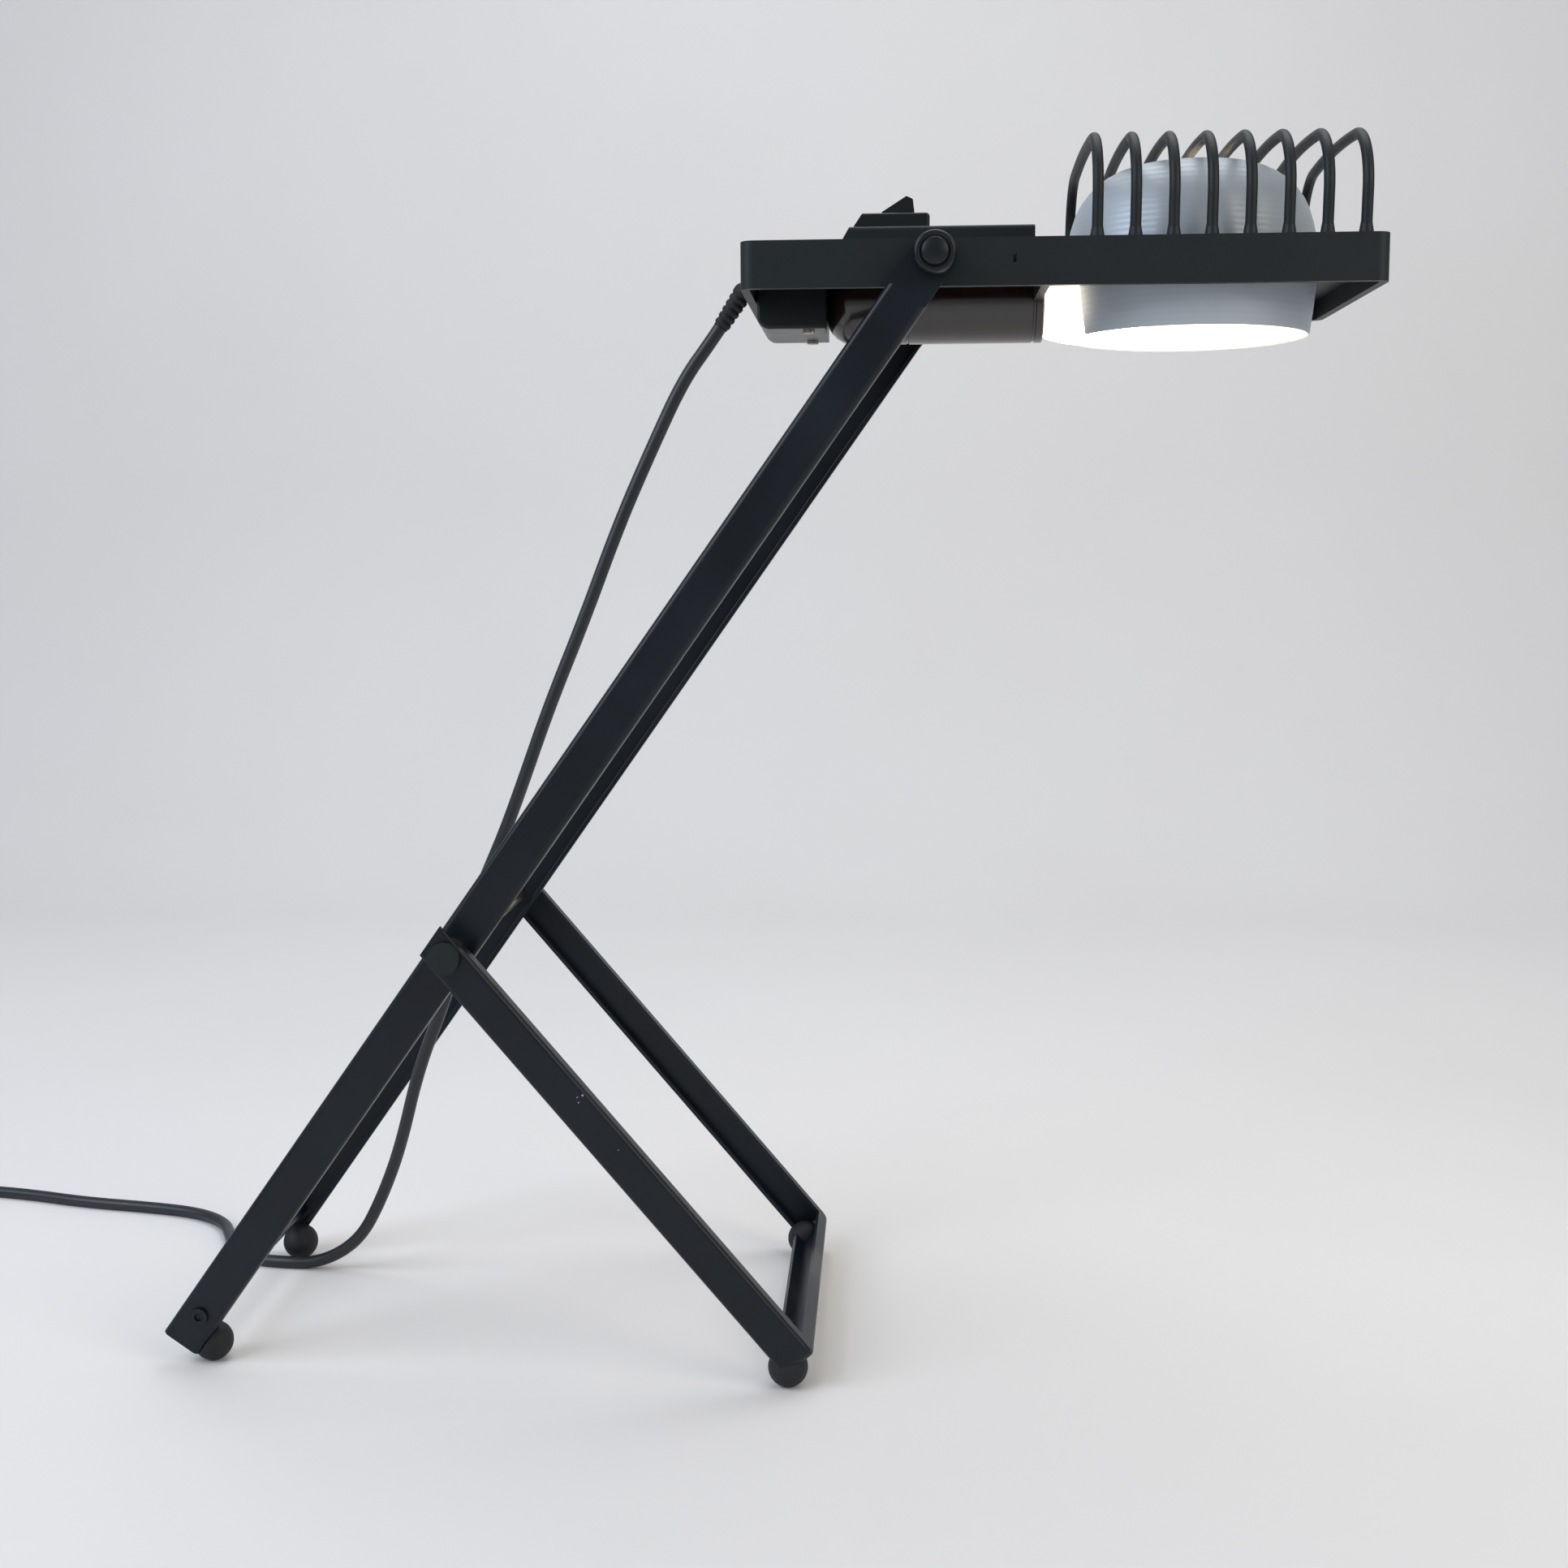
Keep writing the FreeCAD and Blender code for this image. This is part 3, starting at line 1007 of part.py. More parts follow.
def make_head_pivots():
    bolts, bushes = [], []
    half, bar_inside = "head_half_width", "(arm_half_width - sheet)"
    for side, sign in SIDES.items():
        out = "(knob_out - 2)"
        inner = f"({half} - rail_wall)"
        length = f"({out} - {inner} + 1)"
        shank = cylinder(f"bolt_shank_{side}", "bolt_radius", length, "0",
                         f"({sign}) * ({inner} - 1 + {length} / 2) - {length} / 2")
        head = cylinder(f"bolt_head_{side}", "5", "2.8", "0", f"({sign}) * ({inner} - 1.45) - 1.4")
        bolts.append(fuse(f"bolt_{side}", shank, head))

        gap = f"({bar_inside} - {half})"
        centre = f"({sign}) * ({half} + {gap} / 2)"
        thickness = f"({gap} - 2 * side_gap)"
        bushes.append(cut(
            f"pivot_bush_{side}",
            cylinder(f"pivot_bush_disc_{side}", "pivot_bush_radius", thickness, "0",
                     f"{centre} - {thickness} / 2"),
            cylinder(f"pivot_bush_bore_{side}", "bolt_radius + running_gap", f"{gap} + 2", "0",
                     f"{centre} - {gap} / 2 - 1")))
    on_head(group("head_pivot_bolts", *bolts))
    on_head(group("head_pivot_bushes", *bushes))

    for side, sign in SIDES.items():
        start = "(arm_half_width + side_gap)"
        length = f"(knob_out - {start})"
        centre = f"({sign}) * ({start} + {length} / 2)"
        wheel = cylinder(f"knob_wheel_{side}", "knob_radius", f"{length} - 1", "0",
                         f"({sign}) * ({start} + ({length} - 1) / 2) - ({length} - 1) / 2")
        disc = cylinder(f"knob_disc_{side}", "knob_disc_radius", length, "0", f"{centre} - {length} / 2")
        bore = cylinder(f"knob_bore_{side}", "bolt_radius + running_gap", f"{length} - 1.8", "0",
                        f"({sign}) * ({start} + ({length} - 2) / 2 - 0.05) - ({length} - 1.8) / 2")
        on_head(group(f"head_knob_{side}", cut(f"knob_{side}", fuse(f"knob_blank_{side}", wheel, disc),
                                               bore)))


# ---- wiring in the head ----

# The gland leads out along the cord's first run.
def make_gland():
    first_run = TOP_ROUTE[1] - TOP_ROUTE[0]
    lean = math.degrees(math.atan2(-first_run.x, -first_run.z))
    elbow_x, elbow_z = "-head_rear - 4", "-gland_drop - 0.5"

    def lean_down(item):
        item.Placement = Placement(Vector(), Rotation(Vector(0, 1, 0), 180 + lean))
        bind(item, "Placement.Base.x", elbow_x)
        bind(item, "Placement.Base.z", elbow_z)
        return item
    collar = cylinder("gland_collar", "gland_radius", "8.5", "-head_rear - 4", "0", "-gland_drop", "X")
    flange = cylinder("gland_flange", "gland_radius + 1.2", "1.4", "-head_rear - 1.45", "0",
                      "-gland_drop", "X")
    elbow = ball("gland_elbow", "gland_radius", elbow_x, "0", elbow_z)
    sleeve = lean_down(cone("gland_sleeve", "gland_radius - 0.1", "cord_radius + 0.7", "gland_length"))
    bore = "cord_radius + 0.15"
    inner_bore = cylinder("gland_inner_bore", bore, "12", "-head_rear - 4", "0", "-gland_drop", "X")
    outer_bore = lean_down(cylinder("gland_outer_bore", bore, "gland_length + 2", axis="Z"))
    hollow = ball("gland_hollow", bore, elbow_x, "0", elbow_z)
    gland = cut("gland_body", fuse("gland_blank", collar, flange, elbow, sleeve), inner_bore, outer_bore,
                hollow)
    on_head(group("cord_gland", gland))


def make_cord_anchor():
    sheath = cylinder("sheath_end", "cord_radius", "18.5", "-head_rear - 1.5", "0", "-gland_drop", "X")
    on_head(group("cord_inner_end", sheath))
    groove = "cord_radius + 0.02"
    saddle = cut("clamp_saddle", box("saddle_block", "-79", "-72", "-11", "11", "-gland_drop + 0.3",
                                     "rail_top - plate - 0.1"),
                 cylinder("saddle_groove", groove, "12", "-82", "0", "-gland_drop", "X"),
                 *[cylinder(f"saddle_hole_{side}", "1.3", "8", "-75.5", f"({sign}) * 7.5",
                            "-gland_drop - 1", "Z") for side, sign in SIDES.items()])
    bridge = cut("clamp_bridge", box("bridge_block", "-79", "-72", "-11", "11", "-gland_drop - 6",
                                     "-gland_drop - 0.3"),
                 cylinder("bridge_groove", groove, "12", "-82", "0", "-gland_drop", "X"),
                 *[cylinder(f"bridge_hole_{side}", "1.6", "8", "-75.5", f"({sign}) * 7.5",
                            "-gland_drop - 7", "Z") for side, sign in SIDES.items()])
    on_head(group("cord_clamp", saddle, bridge))
    screws = []
    for side, sign in SIDES.items():
        shank = cylinder(f"clamp_shank_{side}", "1.25", "11", "-75.5", f"({sign}) * 7.5",
                         "-gland_drop - 7", "Z")
        head = cylinder(f"clamp_head_{side}", "2.5", "1.5", "-75.5", f"({sign}) * 7.5",
                        "-gland_drop - 7.6", "Z")
        screws.append(fuse(f"clamp_screw_{side}", shank, head))
    on_head(group("cord_clamp_screws", *screws))


def make_terminals():
    rows = ("-9", "0", "9")
    block = cut("terminal_body",
                box("terminal_box", "-66", "-57", "-14.5", "14.5", "-14", "2"),
                *[cylinder(f"terminal_bore_{number}", "2.1", "6", "-61.5", y, "-16", "Z")
                  for number, y in enumerate(rows, start=1)])
    on_head(group("terminal_block", block))
    on_head(group("terminal_screws", *[
        cylinder(f"terminal_screw_{number}", "2", "3", "-61.5", y, "-13.5", "Z")
        for number, y in enumerate(rows, start=1)]))


# ---- cord ----

# The cord's route, chosen by hand: down from the gland along the arm, past the
# leg axle, and then to the floor, round the far foot and away to the coil.
TOP_ROUTE = [Vector(*point) for point in [
    (-8.7, 0, 515.0), (-21.6, 0, 495.9), (-36.5, 0, 476.3), (-52.0, 0, 444.4), (-69.4, 0, 406.4),
    (-87.7, 0, 359.1), (-105.8, 0, 316.5)]]
DROP_ROUTE = [Vector(*point) for point in [
    (-120.5, 1, 277.0), (-131.0, 3, 250.5), (-143.3, 8, 224.8), (-158.3, 16, 191.8),
    (-168.0, 24, 161.0), (-186.5, 33, 119.0)]]
FLOOR_ROUTE = [Vector(*point) for point in [
    (-199.0, 40, 74.5), (-211.5, 44, 43.5), (-225.5, 47, 18.0), (-249.0, 51.5, 3.3),
    (-272.0, 51.8, 3.3), (-290.0, 56.5, 3.3), (-304.5, 69.5, 3.3), (-314.0, 91, 3.3),
    (-325.0, 113, 3.3), (-347.0, 129, 3.3), (-380.0, 137.5, 3.3), (-422.0, 144.5, 3.3),
    (-464.0, 157.5, 3.3), (-502.0, 164.5, 3.3), (-538.0, 174, 3.3)]]


# Straight runs joined by tangent arcs; each arc takes up 0.45 of the shorter run.
def route_edges(points, name, least_radius):
    edges, radii = [], []
    start = points[0]
    for before, corner, after in zip(points, points[1:], points[2:]):
        into = (corner - before).normalize()
        out = (after - corner).normalize()
        half_turn = into.getAngle(out) / 2
        reach = 0.45 * min((corner - before).Length, (after - corner).Length)
        radius = reach / math.tan(half_turn)
        radii.append(radius)
        first, last = corner - into * reach, corner + out * reach
        inward = (out - into).normalize()
        middle = corner + inward * (radius / math.cos(half_turn) - radius)
        edges += [Part.makeLine(start, first), Part.Arc(first, middle, last).toShape()]
        start = last
    edges.append(Part.makeLine(start, points[-1]))
    print(f"{name}: radii {[round(radius) for radius in radii]}, asked at least {least_radius:.0f}")
    return edges


def tube(name, edges, radius):
    wire = Part.Wire(edges)
    start = wire.Edges[0].valueAt(wire.Edges[0].FirstParameter)
    heading = wire.Edges[0].tangentAt(wire.Edges[0].FirstParameter)
    ring = Part.Wire([Part.makeCircle(radius, start, heading)])
    solid = wire.makePipeShell([ring], True, False)
    ideal = math.pi * radius ** 2 * wire.Length
    print(f"{name}: length {wire.Length:.1f}, volume is {solid.Volume / ideal:.4f} of section times length")
    item = document.addObject("Part::Feature", name)
    item.Shape = solid
    return item, wire.Length


# Half turns that spiral in on the floor, climb one layer and spiral out again.
HALF_TURNS_IN, HALF_TURNS_OUT = 4, 3


def coil_edges(start, heading):
    pitch, climb = value("coil_pitch"), value("coil_climb")
    side = Vector(heading.y, -heading.x, 0)
    centre = start - side * value("coil_outer")
    radius = value("coil_outer")
    edges = []
    half_turns = HALF_TURNS_IN + 1 + HALF_TURNS_OUT
    outward = 1
    for number in range(half_turns):
        def on_turn(part):
            angle = math.pi * part
            return centre + side * (outward * radius * math.cos(angle)) \
                + heading * (outward * radius * math.sin(angle))
        if number == HALF_TURNS_IN:
            spots = []
            for step in range(33):
                part = step / 32
                lift = climb * (part - math.sin(2 * math.pi * part) / (2 * math.pi))
                spots.append(on_turn(part) + Vector(0, 0, lift))
            curve = Part.BSplineCurve()
            curve.interpolate(spots, InitialTangent=heading * outward, FinalTangent=heading * -outward)
            edges.append(curve.toShape())
            centre = centre + Vector(0, 0, climb)
        else:
            edges.append(Part.Arc(on_turn(0), on_turn(0.5), on_turn(1)).toShape())
        change = -pitch / 2 if number < HALF_TURNS_IN else pitch / 2
        if number + 1 < half_turns:
            centre = centre + side * (outward * change)
            radius += change
            outward = -outward
    return edges


def gap_to_itself(edges, radius):
    spots = []
    distance = 0
    for edge in edges:
        count = max(2, int(edge.Length / 3))
        for spot in edge.discretize(count)[:-1]:
            spots.append((distance, spot))
            distance += edge.Length / (count - 1)
    least = 1e9
    for index, (run, spot) in enumerate(spots):
        for other_run, other in spots[index + 1:]:
            if other_run - run > 10 * radius:
                least = min(least, (spot - other).Length - 2 * radius)
    return least


def make_cord():
    radius = value("cord_radius")
    least = 10 * radius
    top_cut = (TOP_ROUTE[-1] + DROP_ROUTE[0]) * 0.5
    drop_cut = (DROP_ROUTE[-1] + FLOOR_ROUTE[0]) * 0.5
    sections = {
        "cord_top": TOP_ROUTE + [top_cut],
        "cord_drop": [top_cut] + DROP_ROUTE + [drop_cut],
        "cord_floor": [drop_cut] + FLOOR_ROUTE}
    total = 0
    for name, points in sections.items():
        item, length = tube(name, route_edges(points, name, least), radius)
        parts.append(item)
        total += length

    heading = (FLOOR_ROUTE[-1] - FLOOR_ROUTE[-2]).normalize()
    edges = coil_edges(FLOOR_ROUTE[-1], heading)
    end = edges[-1].valueAt(edges[-1].LastParameter)
    print(f"cord_coil: least gap to itself {gap_to_itself(edges, radius):.2f}")
    rise = value("plug_height") - end.z
    climb = [end + heading * (part * value("lead_climb")) + Vector(0, 0, height * rise)
             for part, height in ((0, 0), (1 / 3, 0.12), (2 / 3, 0.7), (1, 1))]
    curve = Part.BSplineCurve()
    curve.interpolate(climb, InitialTangent=heading, FinalTangent=heading)
    cord_end = climb[-1] + heading * value("lead_level")
    edges += [curve.toShape(), Part.makeLine(climb[-1], cord_end)]
    item, length = tube("cord_coil", edges, radius)
    parts.append(item)
    total += length
    print(f"cord: total length {total:.0f}")
    return cord_end, heading


def make_plug(end, heading):
    angle = math.degrees(math.atan2(heading.y, heading.x))
    body = new_body("plug_body")
    plan = new_sketch(body, "plug_plan", "XY_Plane")
    half, length = "plug_half_width", "plug_length"
    outline(plan, [("0", "-9"), (f"{length} * 0.45", f"-{half}"), (length, f"-{half}"), (length, half),
                   (f"{length} * 0.45", half), ("0", "9")])
    extrude(body, "Pad", plan, "2 * plug_height")
    tall = value("2 * plug_height")
    round_edges(body, "plug_sides", "5",
                lambda edge: runs_along(edge, "z") and near(edge.Length, tall)
                and middle_of(edge).x > 0.1)
    round_edges(body, "plug_rims", "2.5",
                lambda edge: near(abs(middle_of(edge).z), tall / 2) and middle_of(edge).x > 0.1
                and not near(middle_of(edge).x, value(length)))
    bore = new_sketch(body, "plug_cord_hole", "YZ_Plane")
    circle(bore, "0", "0", "cord_radius + 0.15")
    extrude(body, "Pocket", bore, "20")
    relief = new_sketch(body, "plug_relief", "XZ_Plane")
    outline(relief, [("-24", "cord_radius + 0.15"), ("1", "cord_radius + 0.15"), ("1", "8"), ("-24", "4.1")])
    revolve(body, "Revolution", relief, "H_Axis")
    pins_hole = new_sketch(body, "plug_pin_holes", "YZ_Plane", length)
    for across in ("-plug_pin_spread", "plug_pin_spread"):
        circle(pins_hole, across, "0", "plug_root_radius + 0.02")
    extrude(body, "Pocket", pins_hole, "2 * plug_root_depth + 2")

    pins = group("plug_pins", *[
        fuse(f"plug_pin_{side}",
             cylinder(f"pin_root_{side}", "plug_root_radius", "plug_root_depth + 1",
                      f"{length} - plug_root_depth", f"({sign}) * plug_pin_spread", "0", "X"),
             cylinder(f"pin_bar_{side}", "plug_pin_radius",
                      "plug_pin_length - plug_pin_radius - plug_root_step",
                      f"{length} + plug_root_step", f"({sign}) * plug_pin_spread", "0", "X"),
             ball(f"pin_nose_{side}", "plug_pin_radius",
                  f"{length} + plug_pin_length - plug_pin_radius", f"({sign}) * plug_pin_spread", "0"))
        for side, sign in SIDES.items()])
    mouth = end - heading * 9
    for item in (body, pins):
        item.Placement = Placement(mouth, Rotation(Vector(0, 0, 1), angle))
        bind(item, "Placement.Base.z", "plug_height")
        parts.append(item)


# ---- wires ----

def make_wires():
    wires = []
    for side, sign in SIDES.items():
        y = float(sign)
        core = f"({sign}) * 1.6"
        wires.append(cylinder(f"lamp_wire_{side}", "1.1", "64.7", "-56.9", core, "-lamp_axis_drop", "X"))
        to_block = [Vector(-69.6, 1.6 * y, -4), Vector(-68.2, 2.3 * y, -4.1), Vector(-66.3, 2.5 * y, -4.1)]
        to_switch = [Vector(-55.9, 13 * y, -2), Vector(-53.2, 16 * y, -1), Vector(-49, 17.2 * y, -0.2),
                     Vector(-42.5, 17 * y, 5.5), Vector(-36.5, 13.5 * y, 9.2),
                     Vector(-32.5, 10 * y, 9.6), Vector(-29.5, 8 * y, 9.65)]
        for label, points in (("block", to_block), ("switch", to_switch)):
            item, length = tube(f"{label}_wire_{side}", route_edges(points, label, 3), 1.1)
            wires.append(item)
    on_head(group("inner_wires", *wires))


# ---- the whole lamp ----

def make_lamp():
    for side, sign in SIDES.items():
        make_arm_bar(side, sign)
    make_tie_rod()
    make_leg_pivot()
    make_leg_frame()
    make_arm_feet()
    make_leg_feet()
    make_head_frame()
    make_guard_ribs()
    make_top_housing()
    make_switch()
    make_rear_cover()
    make_lampholder()
    make_reflector()
    make_bulb()
    make_head_pivots()
    make_gland()
    make_cord_anchor()
    make_terminals()
    make_wires()
    end, heading = make_cord()
    make_plug(end, heading)


def export_parts():
    os.makedirs("parts", exist_ok=True)
    for item in document.Objects:
        assert "Invalid" not in item.State and "Error" not in item.State, item.Label
    for item in parts:
        assert not item.Shape.isNull() and item.Shape.isValid(), item.Label
        item.Shape.exportStep(f"parts/{item.Label}.step")
        bounds = item.Shape.optimalBoundingBox()
        print(f"{item.Label}: {len(item.Shape.Solids)} solids, {item.Shape.Volume:.0f} mm3, "
              f"x {bounds.XMin:.1f} {bounds.XMax:.1f}, y {bounds.YMin:.1f} {bounds.YMax:.1f}, "
              f"z {bounds.ZMin:.1f} {bounds.ZMax:.1f}")


make_lamp()
document.recompute()
export_parts()
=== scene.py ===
import math

import bmesh
import bpy
from mathutils import Matrix, Vector


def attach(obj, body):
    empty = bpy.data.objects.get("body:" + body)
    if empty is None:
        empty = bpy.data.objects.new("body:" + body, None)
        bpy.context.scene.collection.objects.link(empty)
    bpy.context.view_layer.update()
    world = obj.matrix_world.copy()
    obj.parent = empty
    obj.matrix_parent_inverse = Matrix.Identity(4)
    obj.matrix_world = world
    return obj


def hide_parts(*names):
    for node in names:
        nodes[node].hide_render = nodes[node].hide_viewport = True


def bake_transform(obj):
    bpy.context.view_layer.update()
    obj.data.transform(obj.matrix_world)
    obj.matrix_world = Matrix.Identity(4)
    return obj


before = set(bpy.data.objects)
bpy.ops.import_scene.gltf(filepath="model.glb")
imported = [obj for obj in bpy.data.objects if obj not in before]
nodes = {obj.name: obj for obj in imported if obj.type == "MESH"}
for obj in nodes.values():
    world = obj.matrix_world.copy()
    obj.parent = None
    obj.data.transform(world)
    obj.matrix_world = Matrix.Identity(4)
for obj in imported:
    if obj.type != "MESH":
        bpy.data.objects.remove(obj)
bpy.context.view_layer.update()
print("frame loaded:", len(nodes), "CAD nodes")

headPivot = Vector((0.084507, 0.0, 0.521981))  # the axis that the whole head tips on


# ---- camera, floor and light ----

cameraSettings = {
    "place": (0.0668, -0.941, 0.3848),  # metres, in front of the lamp's right side
    "focalLength": 43.41,
    "sensor": 36.0,
    "yaw": 3.339,  # degrees, turned towards the arm's foot
    "pitch": -6.563,  # looking slightly down
    "roll": -0.279,
}


def placeCamera(settings):
    data = bpy.data.cameras.new("photoCamera")
    data.lens = settings["focalLength"]
    data.sensor_width = settings["sensor"]
    data.clip_start = 0.01
    camera = bpy.data.objects.new("photoCamera", data)
    bpy.context.scene.collection.objects.link(camera)
    camera.matrix_world = (
        Matrix.Translation(settings["place"])
        @ Matrix.Rotation(math.radians(settings["yaw"]), 4, "Z")
        @ Matrix.Rotation(math.radians(90 + settings["pitch"]), 4, "X")
        @ Matrix.Rotation(math.radians(settings["roll"]), 4, "Z"))
    bpy.context.scene.camera = camera


placeCamera(cameraSettings)
print("camera placed")


# An sRGB hex colour as the linear colour that a shader socket takes.
def hexColour(text):
    channels = [int(text[i:i + 2], 16) / 255 for i in (0, 2, 4)]
    linear = [c / 12.92 if c <= 0.04045 else ((c + 0.055) / 1.055) ** 2.4 for c in channels]
    return (*linear, 1.0)


# Adds one node: lower-case keys are its own settings, the others its sockets.
def addNode(tree, kind, settings, links=None):
    node = tree.nodes.new(kind)
    for key, number in settings.items():
        if isinstance(key, str) and key[0].islower():
            setattr(node, key, number)
        else:
            node.inputs[key].default_value = number
    for key, source in (links or {}).items():
        tree.links.new(source, node.inputs[key])
    return node


# A new material, its empty node tree and the Object coordinates that its patterns read.
def newMaterial(name):
    material = bpy.data.materials.new(name)
    material.use_nodes = True
    tree = material.node_tree
    tree.nodes.clear()
    return material, tree, addNode(tree, "ShaderNodeTexCoord", {}).outputs["Object"]


# The shader and its output, with what the links bring in.
def finishMaterial(tree, settings, links):
    shader = addNode(tree, "ShaderNodeBsdfPrincipled", settings, links)
    addNode(tree, "ShaderNodeOutputMaterial", {}, {"Surface": shader.outputs["BSDF"]})


# A noise at a real grain size in millimetres, on Object coordinates.
def grainNoise(tree, place, grain, detail=3.0):
    return addNode(tree, "ShaderNodeTexNoise", {"Scale": 1000 / grain, "Detail": detail},
                   {"Vector": place}).outputs["Fac"]


# Two colours mixed by a pattern. Sockets 6, 7 and 0 are the colours and the share.
def mixTone(tree, share, first, second):
    return addNode(tree, "ShaderNodeMix", {"data_type": "RGBA", 6: hexColour(first),
                                           7: hexColour(second)}, {0: share}).outputs[2]


# A pattern from 0 to 1 spread between two numbers, which sockets 3 and 4 take.
def spread(tree, pattern, low, high):
    return addNode(tree, "ShaderNodeMapRange", {3: low, 4: high}, {0: pattern}).outputs["Result"]


# A pattern as a relief of the given depth in metres.
def relief(tree, pattern, strength, depth):
    return addNode(tree, "ShaderNodeBump", {"Strength": strength, "Distance": depth},
                   {"Height": pattern}).outputs["Normal"]


stageSettings = {
    "paperTones": ("E4E2E0", "EAE9E8"),
    "tonePatch": 400,  # mm
    "paperFinish": {"Roughness": 0.9, "Specular IOR Level": 0.1},
    "sheet": 6.0,  # metres of seamless paper
    "wallDistance": 1.6,
    "wallHeight": 3.2,
    "curve": 0.5,
    "curveSteps": 24,
}


def makeStage(settings):
    shape = bmesh.new()
    bmesh.ops.create_grid(shape, x_segments=1, y_segments=1, size=settings["sheet"] / 2)
    bmesh.ops.translate(shape, verts=shape.verts,
                        vec=(0, settings["wallDistance"] - settings["sheet"] / 2, 0))
    rear = [edge for edge in shape.edges
            if all(abs(v.co.y - settings["wallDistance"]) < 1e-5 for v in edge.verts)]
    wall = bmesh.ops.extrude_edge_only(shape, edges=rear)["geom"]
    bmesh.ops.translate(shape, verts=[v for v in wall if isinstance(v, bmesh.types.BMVert)],
                        vec=(0, 0, settings["wallHeight"]))
    bmesh.ops.bevel(shape, geom=rear, offset=settings["curve"], offset_type="OFFSET",
                    segments=settings["curveSteps"], profile=0.5, affect="EDGES", material=-1)
    for face in shape.faces:
        face.smooth = True
    mesh = bpy.data.meshes.new("paperSweep")
    shape.to_mesh(mesh)
    shape.free()
    sweep = bpy.data.objects.new("paperSweep", mesh)
    bpy.context.scene.collection.objects.link(sweep)
    material, tree, place = newMaterial("mattPaper")
    patches = grainNoise(tree, place, settings["tonePatch"])
    finishMaterial(tree, settings["paperFinish"],
                   {"Base Color": mixTone(tree, patches, *settings["paperTones"])})
    mesh.materials.append(material)


lightTarget = Vector((0, 0, 0.3))  # the middle of the lamp
lightSettings = {  # metres and watts
    "windowLight": {"place": (-1.5, -1.0, 1.5), "size": (1.4, 1.4), "power": 26, "colour": "E8F0FF"},
    "roomLight": {"place": (1.7, -1.2, 1.3), "size": (1.2, 1.2), "power": 15, "colour": "FFF3E6"},
    "topLight": {"place": (0.2, 0.5, 2.0), "size": (1.6, 1.2), "power": 14, "colour": "FFFFFF"},
}
worldSettings = {"colour": "DDE4EC", "strength": 0.42}


def addSoftLight(name, settings):
    data = bpy.data.lights.new(name, "AREA")
    data.shape = "RECTANGLE"
    data.size, data.size_y = settings["size"]
    data.energy = settings["power"]
    data.color = hexColour(settings["colour"])[:3]
    lamp = bpy.data.objects.new(name, data)
    bpy.context.scene.collection.objects.link(lamp)
    lamp.location = settings["place"]
    direction = lightTarget - Vector(settings["place"])
    lamp.rotation_euler = direction.to_track_quat("-Z", "Y").to_euler()


makeStage(stageSettings)
for name, light in lightSettings.items():
    addSoftLight(name, light)
world = bpy.data.worlds.new("softRoom")
world.use_nodes = True
background = world.node_tree.nodes["Background"]
background.inputs["Color"].default_value = hexColour(worldSettings["colour"])
background.inputs["Strength"].default_value = worldSettings["strength"]
bpy.context.scene.world = world
bpy.context.scene.view_settings.view_transform = "Standard"
print("floor and lights set")


# ---- mains cord ----

cordSettings = {
    "diameter": 0.0066,
    "routePoints": [  # down the arm, past the axle, round the far foot and away, in metres
        (-0.0087, 0, 0.5150), (-0.0216, 0, 0.4959), (-0.0365, 0, 0.4763), (-0.0520, 0, 0.4444),
        (-0.0694, 0, 0.4064), (-0.0877, 0, 0.3591), (-0.1058, 0, 0.3165), (-0.1205, 0.001, 0.2770),
        (-0.1310, 0.003, 0.2505), (-0.1433, 0.008, 0.2248), (-0.1583, 0.016, 0.1918),
        (-0.1680, 0.024, 0.1610), (-0.1865, 0.033, 0.1190), (-0.1990, 0.040, 0.0745),
        (-0.2115, 0.044, 0.0435), (-0.2255, 0.047, 0.0180), (-0.2490, 0.0515, 0.0033),
        (-0.2720, 0.0518, 0.0033), (-0.2900, 0.0565, 0.0033), (-0.3045, 0.0695, 0.0033),
        (-0.3140, 0.0910, 0.0033), (-0.3250, 0.1130, 0.0033), (-0.3470, 0.1290, 0.0033),
        (-0.3800, 0.1375, 0.0033), (-0.4220, 0.1445, 0.0033), (-0.4640, 0.1575, 0.0033),
        (-0.5020, 0.1645, 0.0033), (-0.5380, 0.1740, 0.0033)],
    "coilOuter": 0.041,
    "coilPitch": 0.0073,
    "coilClimb": 0.0072,
    "halfTurnsIn": 4,
    "halfTurnsOut": 3,
    "pointsPerHalfTurn": 8,
    "plugHeight": 0.0135,
    "leadLength": 0.102,
    "leadShape": [  # shares of the lead's length and of its rise from the coil to the plug
        (0, 0), (0.18, 0.0), (0.36, 0.3), (0.5, 0.85), (0.64, 1.0), (0.82, 1.0), (1.0, 1.0)],
    "resolution": 10,  # path points for each control point
    "ringSteps": 5,  # bevel resolution of the tube
    "blendStart": (-0.120, 0, 0.277),  # the cord's lower point where it would stay with the arm; not read by this script
    "blendEnd": (-0.022, 0, 0.496),  # and its upper point where it would move with the head; not read either
}


